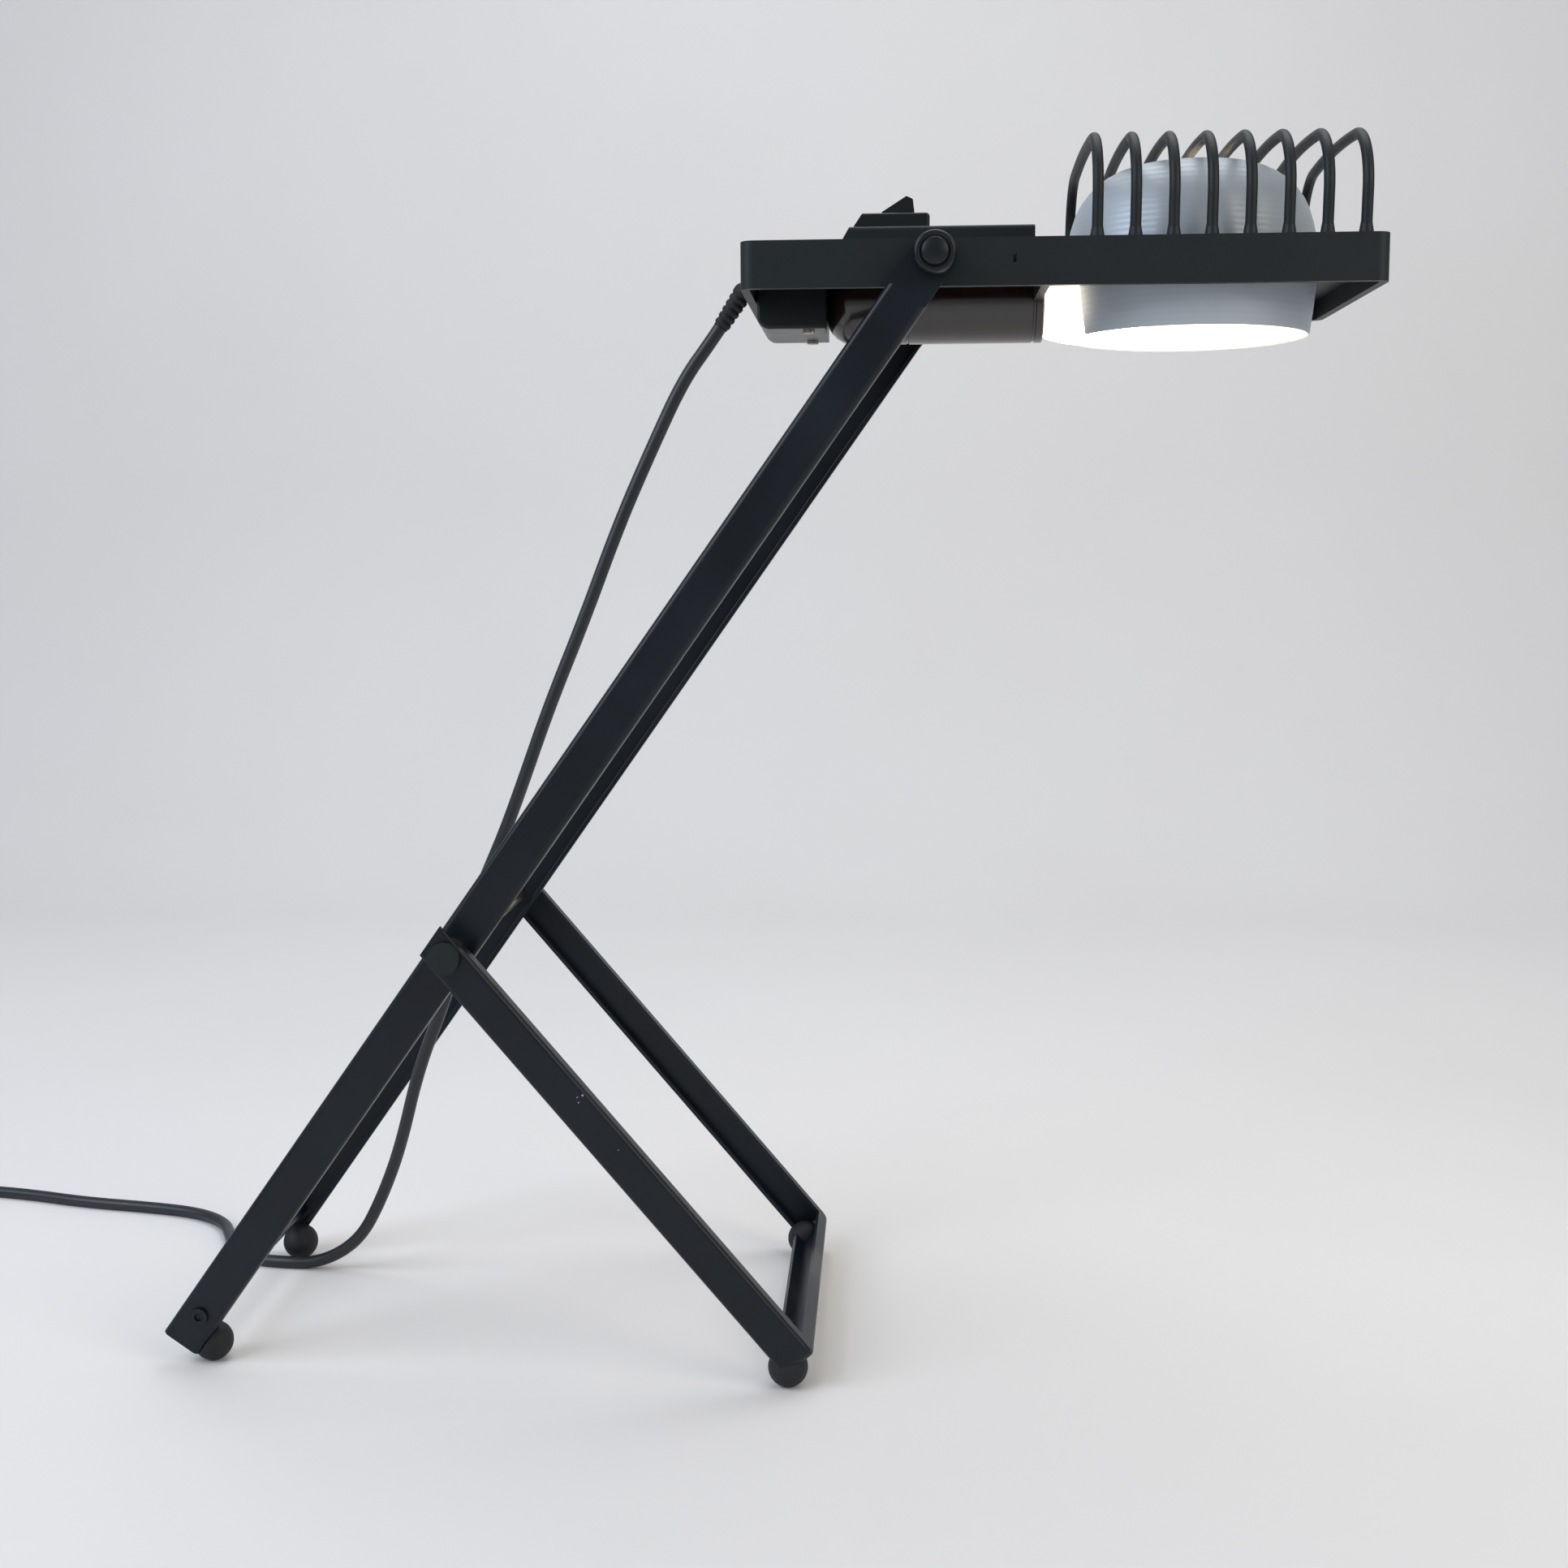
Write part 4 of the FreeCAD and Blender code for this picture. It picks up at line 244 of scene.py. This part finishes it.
# Control points of a flat coil: half turns inwards, one that climbs, half turns outwards.
def coilPoints(settings, start, heading):
    side = Vector((heading.y, -heading.x, 0))
    radius, pitch = settings["coilOuter"], settings["coilPitch"]
    centre = start - side * radius
    steps = settings["pointsPerHalfTurn"]
    weight = 0.75  # how much the spline follows a control point; its neighbours share the rest
    reach = 1 / (weight + (1 - weight) * math.cos(math.pi / steps))
    total = settings["halfTurnsIn"] + 1 + settings["halfTurnsOut"]
    outward, height, points = 1, 0.0, []
    for halfTurn in range(total):
        for step in range(steps):
            angle = math.pi * step / steps
            lift = height
            if halfTurn == settings["halfTurnsIn"]:
                part = step / steps
                lift += settings["coilClimb"] * (part - math.sin(2 * math.pi * part) / (2 * math.pi))
            points.append(centre + Vector((0, 0, lift)) + (side * math.cos(angle)
                          + heading * math.sin(angle)) * (outward * radius * reach))
        end = centre - side * (outward * radius) + Vector((0, 0, height))
        if halfTurn == settings["halfTurnsIn"]:
            height += settings["coilClimb"]
            end.z += settings["coilClimb"]
        change = -pitch / 2 if halfTurn < settings["halfTurnsIn"] else pitch / 2
        if halfTurn + 1 < total:
            centre = centre + side * (outward * change)
            radius += change
            outward = -outward
    return points, end


def makeCordSpline(name, points, resolution):
    curve = bpy.data.curves.new(name, "CURVE")
    curve.dimensions = "3D"
    spline = curve.splines.new("NURBS")
    spline.points.add(len(points) - 1)
    for spot, point in zip(spline.points, points):
        spot.co = (*point, 1.0)
    spline.order_u = 3
    spline.use_endpoint_u = True
    spline.resolution_u = resolution
    carrier = bpy.data.objects.new(name, curve)
    bpy.context.scene.collection.objects.link(carrier)
    return carrier


# The mesh that Blender makes of a curve, and then of the same curve with a round bevel.
def meshFromCurve(carrier, bevel, ringSteps):
    carrier.data.bevel_depth = bevel
    carrier.data.bevel_resolution = ringSteps
    carrier.data.use_fill_caps = True
    bpy.context.view_layer.update()
    graph = bpy.context.evaluated_depsgraph_get()
    return bpy.data.meshes.new_from_object(carrier.evaluated_get(graph))


def makeCord(settings):
    points = [Vector(point) for point in settings["routePoints"]]
    heading = (points[-1] - points[-2]).normalized()
    coil, end = coilPoints(settings, points[-1], heading)
    rise = settings["plugHeight"] - end.z
    lead = settings["leadLength"]
    leadPoints = [end + heading * (lead * part) + Vector((0, 0, rise * height))
                  for part, height in settings["leadShape"]]
    carrier = makeCordSpline("mainsCordLine", points + coil[1:] + leadPoints,
                             settings["resolution"])
    line = meshFromCurve(carrier, 0.0, 0)
    mesh = meshFromCurve(carrier, settings["diameter"] / 2, settings["ringSteps"])
    mesh.name = "mainsCord"
    for polygon in mesh.polygons:
        polygon.use_smooth = True
    cord = bpy.data.objects.new("mainsCord", mesh)
    bpy.context.scene.collection.objects.link(cord)
    bpy.data.objects.remove(carrier)
    bpy.data.meshes.remove(line)
    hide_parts("cord_top", "cord_drop", "cord_floor", "cord_coil")
    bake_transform(cord)
    return cord


mainsCord = makeCord(cordSettings)


# ---- shapes shared by several pieces ----

def newPiece(name, shape, body):
    mesh = bpy.data.meshes.new(name)
    shape.to_mesh(mesh)
    shape.free()
    piece = bpy.data.objects.new(name, mesh)
    bpy.context.scene.collection.objects.link(piece)
    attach(piece, body)
    return piece


# A closed turned shape: the profile's (along, radius) points spun about a line.
def turnedShape(profile, steps):
    shape = bmesh.new()
    spots = [shape.verts.new((0, radius, along)) for along, radius in profile]
    edges = [shape.edges.new(pair) for pair in zip(spots, spots[1:])]
    bmesh.ops.spin(shape, geom=spots + edges, cent=(0, 0, 0), axis=(0, 0, 1), angle=2 * math.pi,
                   steps=steps, use_merge=True)
    bmesh.ops.remove_doubles(shape, verts=shape.verts, dist=1e-6)
    bmesh.ops.recalc_face_normals(shape, faces=shape.faces)
    for face in shape.faces:
        face.smooth = True
    return shape


def markSharp(shape, angle):
    for edge in shape.edges:
        if len(edge.link_faces) == 2 and edge.calc_face_angle(0) > math.radians(angle):
            edge.smooth = False


def moveShape(shape, axis, place):
    bmesh.ops.transform(shape, verts=shape.verts,
                        matrix=Matrix.Translation(place)
                        @ Vector(axis).to_track_quat("Z", "Y").to_matrix().to_4x4())


# ---- reflector ----

reflectorSettings = {
    "centre": 0.124,  # from the head pivot to the reflector's axis
    "wall": 0.001,
    "steps": 128,
    "sharpAngle": 40,
    "crownShare": 0.03,  # metres: how much the height of a face counts in telling inside from outside
    "profile": [  # height from the pivot's level and radius, mouth to crown, in metres
        (-0.0290, 0.0560), (-0.0284, 0.0563), (-0.0180, 0.0577), (-0.0040, 0.0592),
        (0.0002, 0.0593), (0.0004, 0.0607), (0.0009, 0.0612), (0.0016, 0.0611), (0.0025, 0.0602),
        (0.0040, 0.0593), (0.0104, 0.0591), (0.0167, 0.0583), (0.0229, 0.0569), (0.0290, 0.0550),
        (0.0337, 0.0527), (0.0380, 0.0497), (0.0418, 0.0461), (0.0450, 0.0419), (0.0475, 0.0373),
        (0.0493, 0.0324), (0.0503, 0.0272), (0.0505, 0.0220), (0.0511, 0.0150)],
    "notchHalfWidth": 0.022,
    "notchTop": 0.014,
}


# A shell is cut open where the lampholder passes, and then gets its thickness.
def makeReflector(settings):
    shape = turnedShape(settings["profile"], settings["steps"])
    for place, normal in (((0, settings["notchHalfWidth"], 0), (0, 1, 0)),
                          ((0, -settings["notchHalfWidth"], 0), (0, 1, 0)),
                          ((0, 0, settings["notchTop"]), (0, 0, 1))):
        bmesh.ops.bisect_plane(shape, geom=shape.verts[:] + shape.edges[:] + shape.faces[:],
                               plane_co=place, plane_no=normal, dist=1e-6)
    opening = []
    for face in shape.faces:
        middle = face.calc_center_median()
        if middle.x < 0 and abs(middle.y) < settings["notchHalfWidth"] \
                and middle.z < settings["notchTop"]:
            opening.append(face)
    bmesh.ops.delete(shape, geom=opening, context="FACES")
    bmesh.ops.solidify(shape, geom=shape.faces[:], thickness=settings["wall"])
    for face in shape.faces:
        middle = face.calc_center_median()
        facing = face.normal.dot(Vector((middle.x, middle.y, settings["crownShare"])))
        face.material_index = 1 if facing < 0 else 0
        face.smooth = True
    markSharp(shape, settings["sharpAngle"])
    bmesh.ops.translate(shape, verts=shape.verts,
                        vec=headPivot + Vector((settings["centre"], 0, 0)))
    piece = newPiece("spunReflector", shape, "head")
    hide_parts("reflector")
    return piece


spunReflector = makeReflector(reflectorSettings)
print("reflector made")


# ---- lampholder and bulb, on one level axis ----

bulbSettings = {
    "axisDrop": 0.010,  # below the head pivot
    "globe": [  # distance in front of the pivot and radius
        (0.07205, 0.0), (0.07205, 0.0212), (0.0724, 0.0215), (0.0790, 0.02225), (0.0855, 0.0225),
        (0.0899, 0.02206), (0.0941, 0.02079), (0.0980, 0.01871), (0.1014, 0.01591), (0.1042, 0.0125),
        (0.1063, 0.00861), (0.1076, 0.00439), (0.1080, 0.0)],
    "base": [
        (0.04805, 0.0), (0.04805, 0.0129), (0.0485, 0.0134), (0.0512, 0.0158), (0.0560, 0.0184),
        (0.0640, 0.0204), (0.0708, 0.0213), (0.0717, 0.0213), (0.0720, 0.0210), (0.0720, 0.0)],
}

barrelSettings = {
    "profile": [  # moulded barrel with a rounded rear, two fine grooves and a front bead
        (-0.0502, 0.0051), (-0.0502, 0.0080), (-0.0496, 0.0117), (-0.0479, 0.0146),
        (-0.0453, 0.0172), (-0.0421, 0.0191), (-0.0382, 0.0200), (-0.0120, 0.0200),
        (-0.0117, 0.0196), (-0.0109, 0.0196), (-0.0106, 0.0200), (0.0482, 0.0200),
        (0.0485, 0.0195), (0.0495, 0.0195), (0.0498, 0.0200), (0.0529, 0.0200), (0.0535, 0.0194),
        (0.0535, 0.0180), (-0.0382, 0.0180), (-0.0450, 0.0150), (-0.0482, 0.0080),
        (-0.0482, 0.0051)],
}


turnSteps = 96


def turnedPiece(name, profile, place, axis, body, node, closed=False, sharp=35):
    shape = turnedShape(profile + profile[:1] if closed else profile, turnSteps)
    markSharp(shape, sharp)
    moveShape(shape, axis, place)
    piece = newPiece(name, shape, body)
    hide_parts(node)
    return piece


lampAxis = headPivot - Vector((0, 0, bulbSettings["axisDrop"]))
bulbGlobe = turnedPiece("bulbGlobe", bulbSettings["globe"], lampAxis, (1, 0, 0), "head",
                        "bulb_globe")
bulbBase = turnedPiece("bulbBase", bulbSettings["base"], lampAxis, (1, 0, 0), "head",
                       "bulb_base")
lampBarrel = turnedPiece("lampholderBarrel", barrelSettings["profile"], lampAxis, (1, 0, 0), "head",
                         "lampholder_barrel", closed=True)
print("lampholder and bulb made")


# ---- clamping knobs at the head pivot ----

knobSettings = {
    "profile": [  # distance from the middle plane and radius
        (0.0792, 0.0031), (0.0792, 0.0088), (0.0797, 0.0093), (0.0880, 0.0093), (0.0890, 0.0090),
        (0.0895, 0.0083), (0.0896, 0.0074), (0.0891, 0.0068), (0.0890, 0.0063), (0.0905, 0.0059),
        (0.0910, 0.0053), (0.0910, 0.0)],
    "axisY": {"right": -1, "left": 1},
    "sharpAngle": 60,
}
knobs = {
    side: turnedPiece(f"{side}Knob", knobSettings["profile"], Vector((headPivot.x, 0, headPivot.z)),
                      (0, sign, 0), f"knob_{side}", f"head_knob_{side}",
                      sharp=knobSettings["sharpAngle"])
    for side, sign in knobSettings["axisY"].items()}
print("knobs made")


# ---- ribbed sleeve where the cord leaves the head ----

glandSettings = {
    "elbow": (-0.0915, 0, -0.0045),  # from the head pivot
    "lean": (-0.5597, 0, -0.8287),  # the way the cord leaves
    "length": 0.020,
    "rootRadius": 0.0049,
    "tipRadius": 0.0040,
    "bore": 0.00345,
    "ribs": 6,
    "ribShape": [  # along one rib, and how deep the groove is there
        (0.05, 0.0), (0.55, 0.0), (0.68, 1.0), (0.92, 1.0)],
    "ribDepth": 0.0005,
    "tipRounding": 0.0003,
    "steps": 40,
    "elbowRings": 24,
    "ribAngle": 70,  # an edge is sharp beyond these angles
    "collarAngle": 40,
    "collar": [(0.0, 0.00345), (0.0, 0.0050), (0.0025, 0.0050), (0.0027, 0.0062), (0.0037, 0.0062),
               (0.0040, 0.0050), (0.0084, 0.0050), (0.0084, 0.00345)],
    "collarPlace": (-0.0915, 0, -0.0040),
}


def joinShapes(name, shapes):
    whole = bmesh.new()
    for shape in shapes:
        mesh = bpy.data.meshes.new(name)
        shape.to_mesh(mesh)
        shape.free()
        whole.from_mesh(mesh)
        bpy.data.meshes.remove(mesh)
    return whole


def makeGland(settings):
    length, ribs, steps = settings["length"], settings["ribs"], settings["steps"]
    root, tip, bore = settings["rootRadius"], settings["tipRadius"], settings["bore"]
    profile = [(0.0, bore)]
    for rib in range(ribs):
        for part, sink in settings["ribShape"]:
            along = (rib + part) / ribs
            radius = root + (tip - root) * along
            profile.append((along * length, radius - sink * settings["ribDepth"]))
    profile += [(length, tip - settings["tipRounding"]), (length, bore), (0.0, bore)]
    sleeve = turnedShape(profile, steps)
    markSharp(sleeve, settings["ribAngle"])
    moveShape(sleeve, settings["lean"], headPivot + Vector(settings["elbow"]))
    elbow = bmesh.new()
    bmesh.ops.create_uvsphere(elbow, u_segments=steps, v_segments=settings["elbowRings"], radius=root)
    moveShape(elbow, (0, 0, 1), headPivot + Vector(settings["elbow"]))
    for face in elbow.faces:
        face.smooth = True
    collar = turnedShape(settings["collar"] + settings["collar"][:1], steps)
    markSharp(collar, settings["collarAngle"])
    moveShape(collar, (1, 0, 0), headPivot + Vector(settings["collarPlace"]))
    piece = newPiece("cordSleeve", joinShapes("cordSleeve", [sleeve, elbow, collar]), "head")
    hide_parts("cord_gland")
    return piece


cordSleeve = makeGland(glandSettings)
print("cord sleeve made")


# ---- rubber balls under the legs ----

legFeetSettings = {
    "centre": (0.0175, 0.0861, 0.0093),  # the left ball; the right one mirrors it
    "radius": 0.0095,
    "segments": 48,
    "rings": 32,
}


# A whole ball is pushed over each corner of the leg frame and pressed flat on the floor.
def makeLegFeet(settings):
    balls = []
    for side in (-1, 1):
        ball = bmesh.new()
        bmesh.ops.create_uvsphere(ball, u_segments=settings["segments"],
                                  v_segments=settings["rings"], radius=settings["radius"])
        x, y, z = settings["centre"]
        bmesh.ops.translate(ball, verts=ball.verts, vec=(x, side * y, z))
        for vertex in ball.verts:
            vertex.co.z = max(vertex.co.z, 0.0)
        for face in ball.faces:
            face.smooth = True
        balls.append(ball)
    piece = newPiece("legFeet", joinShapes("legFeet", balls), "legs")
    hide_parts("leg_foot_balls")
    return piece


legFeet = makeLegFeet(legFeetSettings)
print("leg feet made")


# ---- materials ----

# Satin black stove enamel on folded sheet steel: black, tinted blue by a painted reflection of
# the room, with a soft sheen and a very fine orange peel, a little paler and rougher where hands and
# the desk have rubbed it.
# Pale chips of about 1 mm show only on the near leg, where the real one is knocked.
enamelLook = {  # patches and grains in millimetres
    # both tones carry a painted blue reflection of the room on plain black paint
    "tones": ("0A1119", "131B24"),
    "wearPatch": 60,
    "wearDetail": 6.0,
    "wearRange": (0.42, 0.72),
    "chipTone": "A9AFB5",
    "chipGrain": 1.7,
    "chipDetail": 1.0,
    "chipPlaces": ((-0.0776, -0.095, 0.1406), (-0.0613, -0.095, 0.1164)),  # metres
    "chipReach": {1: 0.001, 2: 0.006, 3: 0.30, 4: 0.0},  # a lift of 0.30 fades out by 6 mm
    "chipLevel": {1: 0.92, 2: 0.96},  # grain and lift together show as a chip from here
    "roughness": (0.34, 0.46),
    "peelGrain": 1.1,
    "peelDetail": 2.0,
    "peelRelief": (0.12, 0.0002),
    "shader": {"Specular IOR Level": 0.32},
}


# How much a chip's place lifts the grain: most at its centre, nothing further out.
def chipLift(tree, place, centre, reach):
    offset = addNode(tree, "ShaderNodeVectorMath", {"operation": "SUBTRACT", 1: centre},
                     {0: place}).outputs["Vector"]
    far = addNode(tree, "ShaderNodeVectorMath", {"operation": "LENGTH"}, {0: offset})
    return addNode(tree, "ShaderNodeMapRange", reach, {0: far.outputs["Value"]}).outputs["Result"]


def satinEnamel(look):
    material, tree, place = newMaterial("satinBlackEnamel")
    wear = addNode(tree, "ShaderNodeValToRGB", {},
                   {"Fac": grainNoise(tree, place, look["wearPatch"], look["wearDetail"])})
    for stop, position in zip(wear.color_ramp.elements, look["wearRange"]):
        stop.position = position
    tone = mixTone(tree, wear.outputs["Color"], *look["tones"])
    first, second = [chipLift(tree, place, centre, look["chipReach"])
                     for centre in look["chipPlaces"]]
    lift = addNode(tree, "ShaderNodeMath", {"operation": "MAXIMUM"}, {0: first, 1: second})
    chips = grainNoise(tree, place, look["chipGrain"], look["chipDetail"])
    level = addNode(tree, "ShaderNodeMath", {"operation": "ADD"},
                    {0: chips, 1: lift.outputs["Value"]}).outputs["Value"]
    chipped = addNode(tree, "ShaderNodeMapRange", look["chipLevel"], {0: level}).outputs["Result"]
    colour = addNode(tree, "ShaderNodeMix", {"data_type": "RGBA", 7: hexColour(look["chipTone"])},
                     {0: chipped, 6: tone}).outputs[2]
    peel = grainNoise(tree, place, look["peelGrain"], look["peelDetail"])
    finishMaterial(tree, look["shader"],
                   {"Base Color": colour,
                    "Roughness": spread(tree, wear.outputs["Color"], *look["roughness"]),
                    "Normal": relief(tree, peel, *look["peelRelief"])})
    return material


lampGlow = {"Emission Color": hexColour("FFEBCF")}  # the warm white of a lit filament

# Each tone wanders between two colours over patches of tonePatch millimetres, and each gloss
# between two roughnesses. cells and grain are a relief's size, with its strength and depth.
looks = {
    # injection-moulded black polyamide: a spark-eroded grain of 0.4 mm, drawn at 0.7 mm so that
    # it shows, and a dry dark grey whose greenish-blue cast is a painted teal reflection in its tones
    "sparkGrainedPolyamide": {
        # the greenish-blue in these tones is painted reflection
        "tones": ("0E1619", "182124"), "tonePatch": 35, "roughness": (0.45, 0.56),
        "glossPatch": 18, "cells": 0.7, "relief": (0.25, 0.0002),
        "shader": {"Specular IOR Level": 0.35}},
    # the same plastic from a smoother mould: a softer black that keeps a dull highlight
    "smoothSwitchMoulding": {
        "tones": ("0D1215", "161B1E"), "tonePatch": 35, "roughness": (0.29, 0.40),
        "glossPatch": 18, "cells": 1.6, "relief": (0.08, 0.0002),
        "shader": {"Specular IOR Level": 0.35}},
    # pressed phenolic resin, polished by its mould: near black with a warm brown depth in the
    # gloss, and faint flow clouds a few millimetres wide
    "polishedPhenolic": {
        "tones": ("120D0B", "2A1A14"), "tonePatch": 9, "toneDetail": 5.0,
        "roughness": (0.16, 0.26), "glossPatch": 14,
        "shader": {"IOR": 1.6, "Coat Weight": 0.35, "Coat Roughness": 0.12}},
    # nitrile rubber, moulded: dull black with a bloom of paler dust in soft patches
    "dullNitrileRubber": {
        "tones": ("0F1012", "22242A"), "tonePatch": 12, "toneDetail": 6.0,
        "roughness": (0.55, 0.75), "glossPatch": 6, "glossDetail": 4.0, "grain": 0.8,
        "grainDetail": 4.0, "relief": (0.25, 0.0002),
        "shader": {"IOR": 1.52, "Specular IOR Level": 0.4}},
    # extruded soft PVC sheath: black, smooth, with the slow waver of extrusion in its gloss
    "extrudedPvcSheath": {
        "tones": ("13161A", "20252B"), "tonePatch": 25, "roughness": (0.36, 0.50),
        "glossPatch": 8, "grain": 3.0, "grainDetail": 2.0, "relief": (0.10, 0.0003),
        "shader": {"IOR": 1.53}},
    # zinc plate on steel: a pale warm grey metal whose fine brush marks run along the axles
    "zincPlatedSteel": {
        "tones": ("C2BBA9", "9C9484"), "tonePatch": 7, "roughness": (0.24, 0.40),
        "marks": 0.6, "markStretch": (1.0, 0.15, 1.0), "relief": (0.08, 0.0001),
        "shader": {"Metallic": 1.0}},
    # nickel plate over brass, yellowish where it is worn, with tool marks across the pins
    "nickelPlatedBrass": {
        "tones": ("CDBB8C", "B39F6C"), "tonePatch": 7, "roughness": (0.20, 0.36),
        "marks": 0.5, "markStretch": (0.2, 1.0, 1.0), "relief": (0.08, 0.0001),
        "shader": {"Metallic": 1.0}},
    # aluminium spun over a chuck and anodised matt: a pale cool grey, with rings 0.5 mm apart
    # from the spinning roller round its upright axis, drawn at 2.8 mm so that they show
    "spunAnodisedAluminium": {
        "tones": ("BFC7CD", "AEB7BE"), "tonePatch": 30, "roughness": (0.50, 0.60),
        "rings": 2.7634, "relief": (0.10, 0.0001), "shader": {"Metallic": 0.55}},
    # white stove enamel inside the reflector: warm and even, it throws the light back
    "whiteStoveEnamel": {
        "tones": ("F4F1EA", "E9E5DC"), "tonePatch": 25, "roughness": (0.34, 0.44),
        "glossPatch": 12.5, "shader": {"IOR": 1.5}},
    # opal glass with the lamp lit behind it: it burns out to white, as in the photo
    "litOpalGlass": {
        "tones": ("FFF8EC", "FBF1E0"), "tonePatch": 20, "roughness": (0.26, 0.36),
        "glossPatch": 10, "shader": {"IOR": 1.52, "Emission Strength": 16.0, **lampGlow}},
    # the bulb's white base, with a painted glow: its emission stands in for the globe's light falling
    # on it, not a lamp of its own
    "whitePolycarbonatePaintedGlow": {
        "tones": ("FBF8F1", "F2EEE4"), "tonePatch": 12, "roughness": (0.31, 0.41),
        # the emission on this base is a painted glow
        "glossPatch": 6, "shader": {"IOR": 1.58, "Emission Strength": 4.0, **lampGlow}},
    # glazed steatite: creamy white and glossy, a little cloudy
    "glazedSteatite": {
        "tones": ("EBE6DA", "DDD6C6"), "tonePatch": 9, "roughness": (0.18, 0.28),
        "glossPatch": 4.5, "shader": {"IOR": 1.55}},
    # undyed nylon: a dull cream that hardly shines
    "naturalNylon": {
        "tones": ("DFD9C9", "CFC7B4"), "tonePatch": 6, "roughness": (0.44, 0.54),
        "glossPatch": 3, "shader": {"IOR": 1.53}},
    # the blue skin of an inner wire, soft and half matt
    "bluePvcCore": {
        "tones": ("2E5FA8", "274F8C"), "tonePatch": 5, "roughness": (0.38, 0.48),
        "glossPatch": 2.5, "shader": {"IOR": 1.53}},
}
usualDetail = {"toneDetail": 4.0, "glossDetail": 3.0, "markDetail": 4.0}
ringWaver = {"Distortion": 0.6, "Detail": 2.0, "Detail Scale": 3.0}  # spun rings aren't quite even
waveStretch = 20  # a wave texture turns its coordinate into this many radians a unit


# Rings round the reflector's upright axis, the given number of millimetres apart.
def spunRings(tree, place, distance):
    middle = (-headPivot.x - reflectorSettings["centre"], 0, -headPivot.z)
    centred = addNode(tree, "ShaderNodeMapping", {"Location": middle}, {"Vector": place})
    return addNode(tree, "ShaderNodeTexWave",
                   {"wave_type": "BANDS", "bands_direction": "Z",
                    "Scale": 1000 / distance * 2 * math.pi / waveStretch, **ringWaver},
                   {"Vector": centred.outputs["Vector"]}).outputs["Fac"]


def makeMaterial(name):
    look = {**usualDetail, **looks[name]}
    material, tree, place = newMaterial(name)
    height = None
    if "marks" in look:  # tool marks, which break up both gloss and surface
        along = addNode(tree, "ShaderNodeMapping", {"Scale": look["markStretch"]}, {"Vector": place})
        gloss = height = grainNoise(tree, along.outputs["Vector"], look["marks"], look["markDetail"])
    elif "rings" in look:
        gloss = height = spunRings(tree, place, look["rings"])
    else:
        gloss = grainNoise(tree, place, look["glossPatch"], look["glossDetail"])
    if "cells" in look:
        height = addNode(tree, "ShaderNodeTexVoronoi",
                         {"Scale": 1000 / look["cells"], "feature": "SMOOTH_F1"},
                         {"Vector": place}).outputs["Distance"]
    elif "grain" in look:
        height = grainNoise(tree, place, look["grain"], look["grainDetail"])
    patches = grainNoise(tree, place, look["tonePatch"], look["toneDetail"])
    links = {"Base Color": mixTone(tree, patches, *look["tones"]),
             "Roughness": spread(tree, gloss, *look["roughness"])}
    if height is not None:
        links["Normal"] = relief(tree, height, *look["relief"])
    finishMaterial(tree, look["shader"], links)
    return material


blackEnamel = satinEnamel(enamelLook)
blackNylon = makeMaterial("sparkGrainedPolyamide")
blackSwitch = makeMaterial("smoothSwitchMoulding")
blackPhenolic = makeMaterial("polishedPhenolic")
blackRubber = makeMaterial("dullNitrileRubber")
blackSheath = makeMaterial("extrudedPvcSheath")
zincSteel = makeMaterial("zincPlatedSteel")
platedBrass = makeMaterial("nickelPlatedBrass")
aluminium = makeMaterial("spunAnodisedAluminium")
whiteEnamel = makeMaterial("whiteStoveEnamel")
opalGlass = makeMaterial("litOpalGlass")
# a white base with a painted glow
whiteCapPaintedGlow = makeMaterial("whitePolycarbonatePaintedGlow")
steatite = makeMaterial("glazedSteatite")
naturalNylon = makeMaterial("naturalNylon")
blueWire = makeMaterial("bluePvcCore")

finishOf = {
    "arm_bar_right": blackEnamel, "arm_bar_left": blackEnamel, "leg_frame": blackEnamel,
    "foot_tie_rod": blackEnamel, "foot_rod_screws": blackEnamel, "leg_axle": zincSteel,
    "leg_axle_spacers": zincSteel, "leg_pivot_caps": blackNylon, "leg_pivot_bushes": naturalNylon,
    "arm_foot_balls": blackRubber, "head_frame": blackNylon, "guard_ribs": blackNylon,
    "top_housing": blackNylon, "rear_cover": blackSwitch,
    "switch_bezel": blackSwitch, "switch_body": blackSwitch, "switch_rocker": blackSwitch,
    "rocker_pin": zincSteel, "cover_screws": zincSteel, "lampholder_nipple": zincSteel,
    "nipple_nuts": zincSteel, "lampholder_insulator": steatite, "screw_shell": platedBrass,
    "centre_contact": platedBrass, "bulb_cap": platedBrass, "bulb_contact": platedBrass,
    "head_pivot_bolts": zincSteel, "head_pivot_bushes": blackNylon, "cord_inner_end": blackSheath,
    "cord_clamp": naturalNylon, "cord_clamp_screws": zincSteel, "terminal_block": naturalNylon,
    "terminal_screws": platedBrass, "inner_wires": blueWire, "plug_body": blackSheath,
    "plug_pins": platedBrass,
}
for name, material in finishOf.items():
    for slot in nodes[name].material_slots:
        slot.material = material

for piece, materials in ((mainsCord, [blackSheath]), (spunReflector, [aluminium, whiteEnamel]),
                         (bulbGlobe, [opalGlass]), (bulbBase, [whiteCapPaintedGlow]),
                         (lampBarrel, [blackPhenolic]), (cordSleeve, [blackRubber]),
                         (legFeet, [blackRubber]), (knobs["right"], [blackSwitch]),
                         (knobs["left"], [blackSwitch])):
    for material in materials:
        piece.data.materials.append(material)
print("materials set")
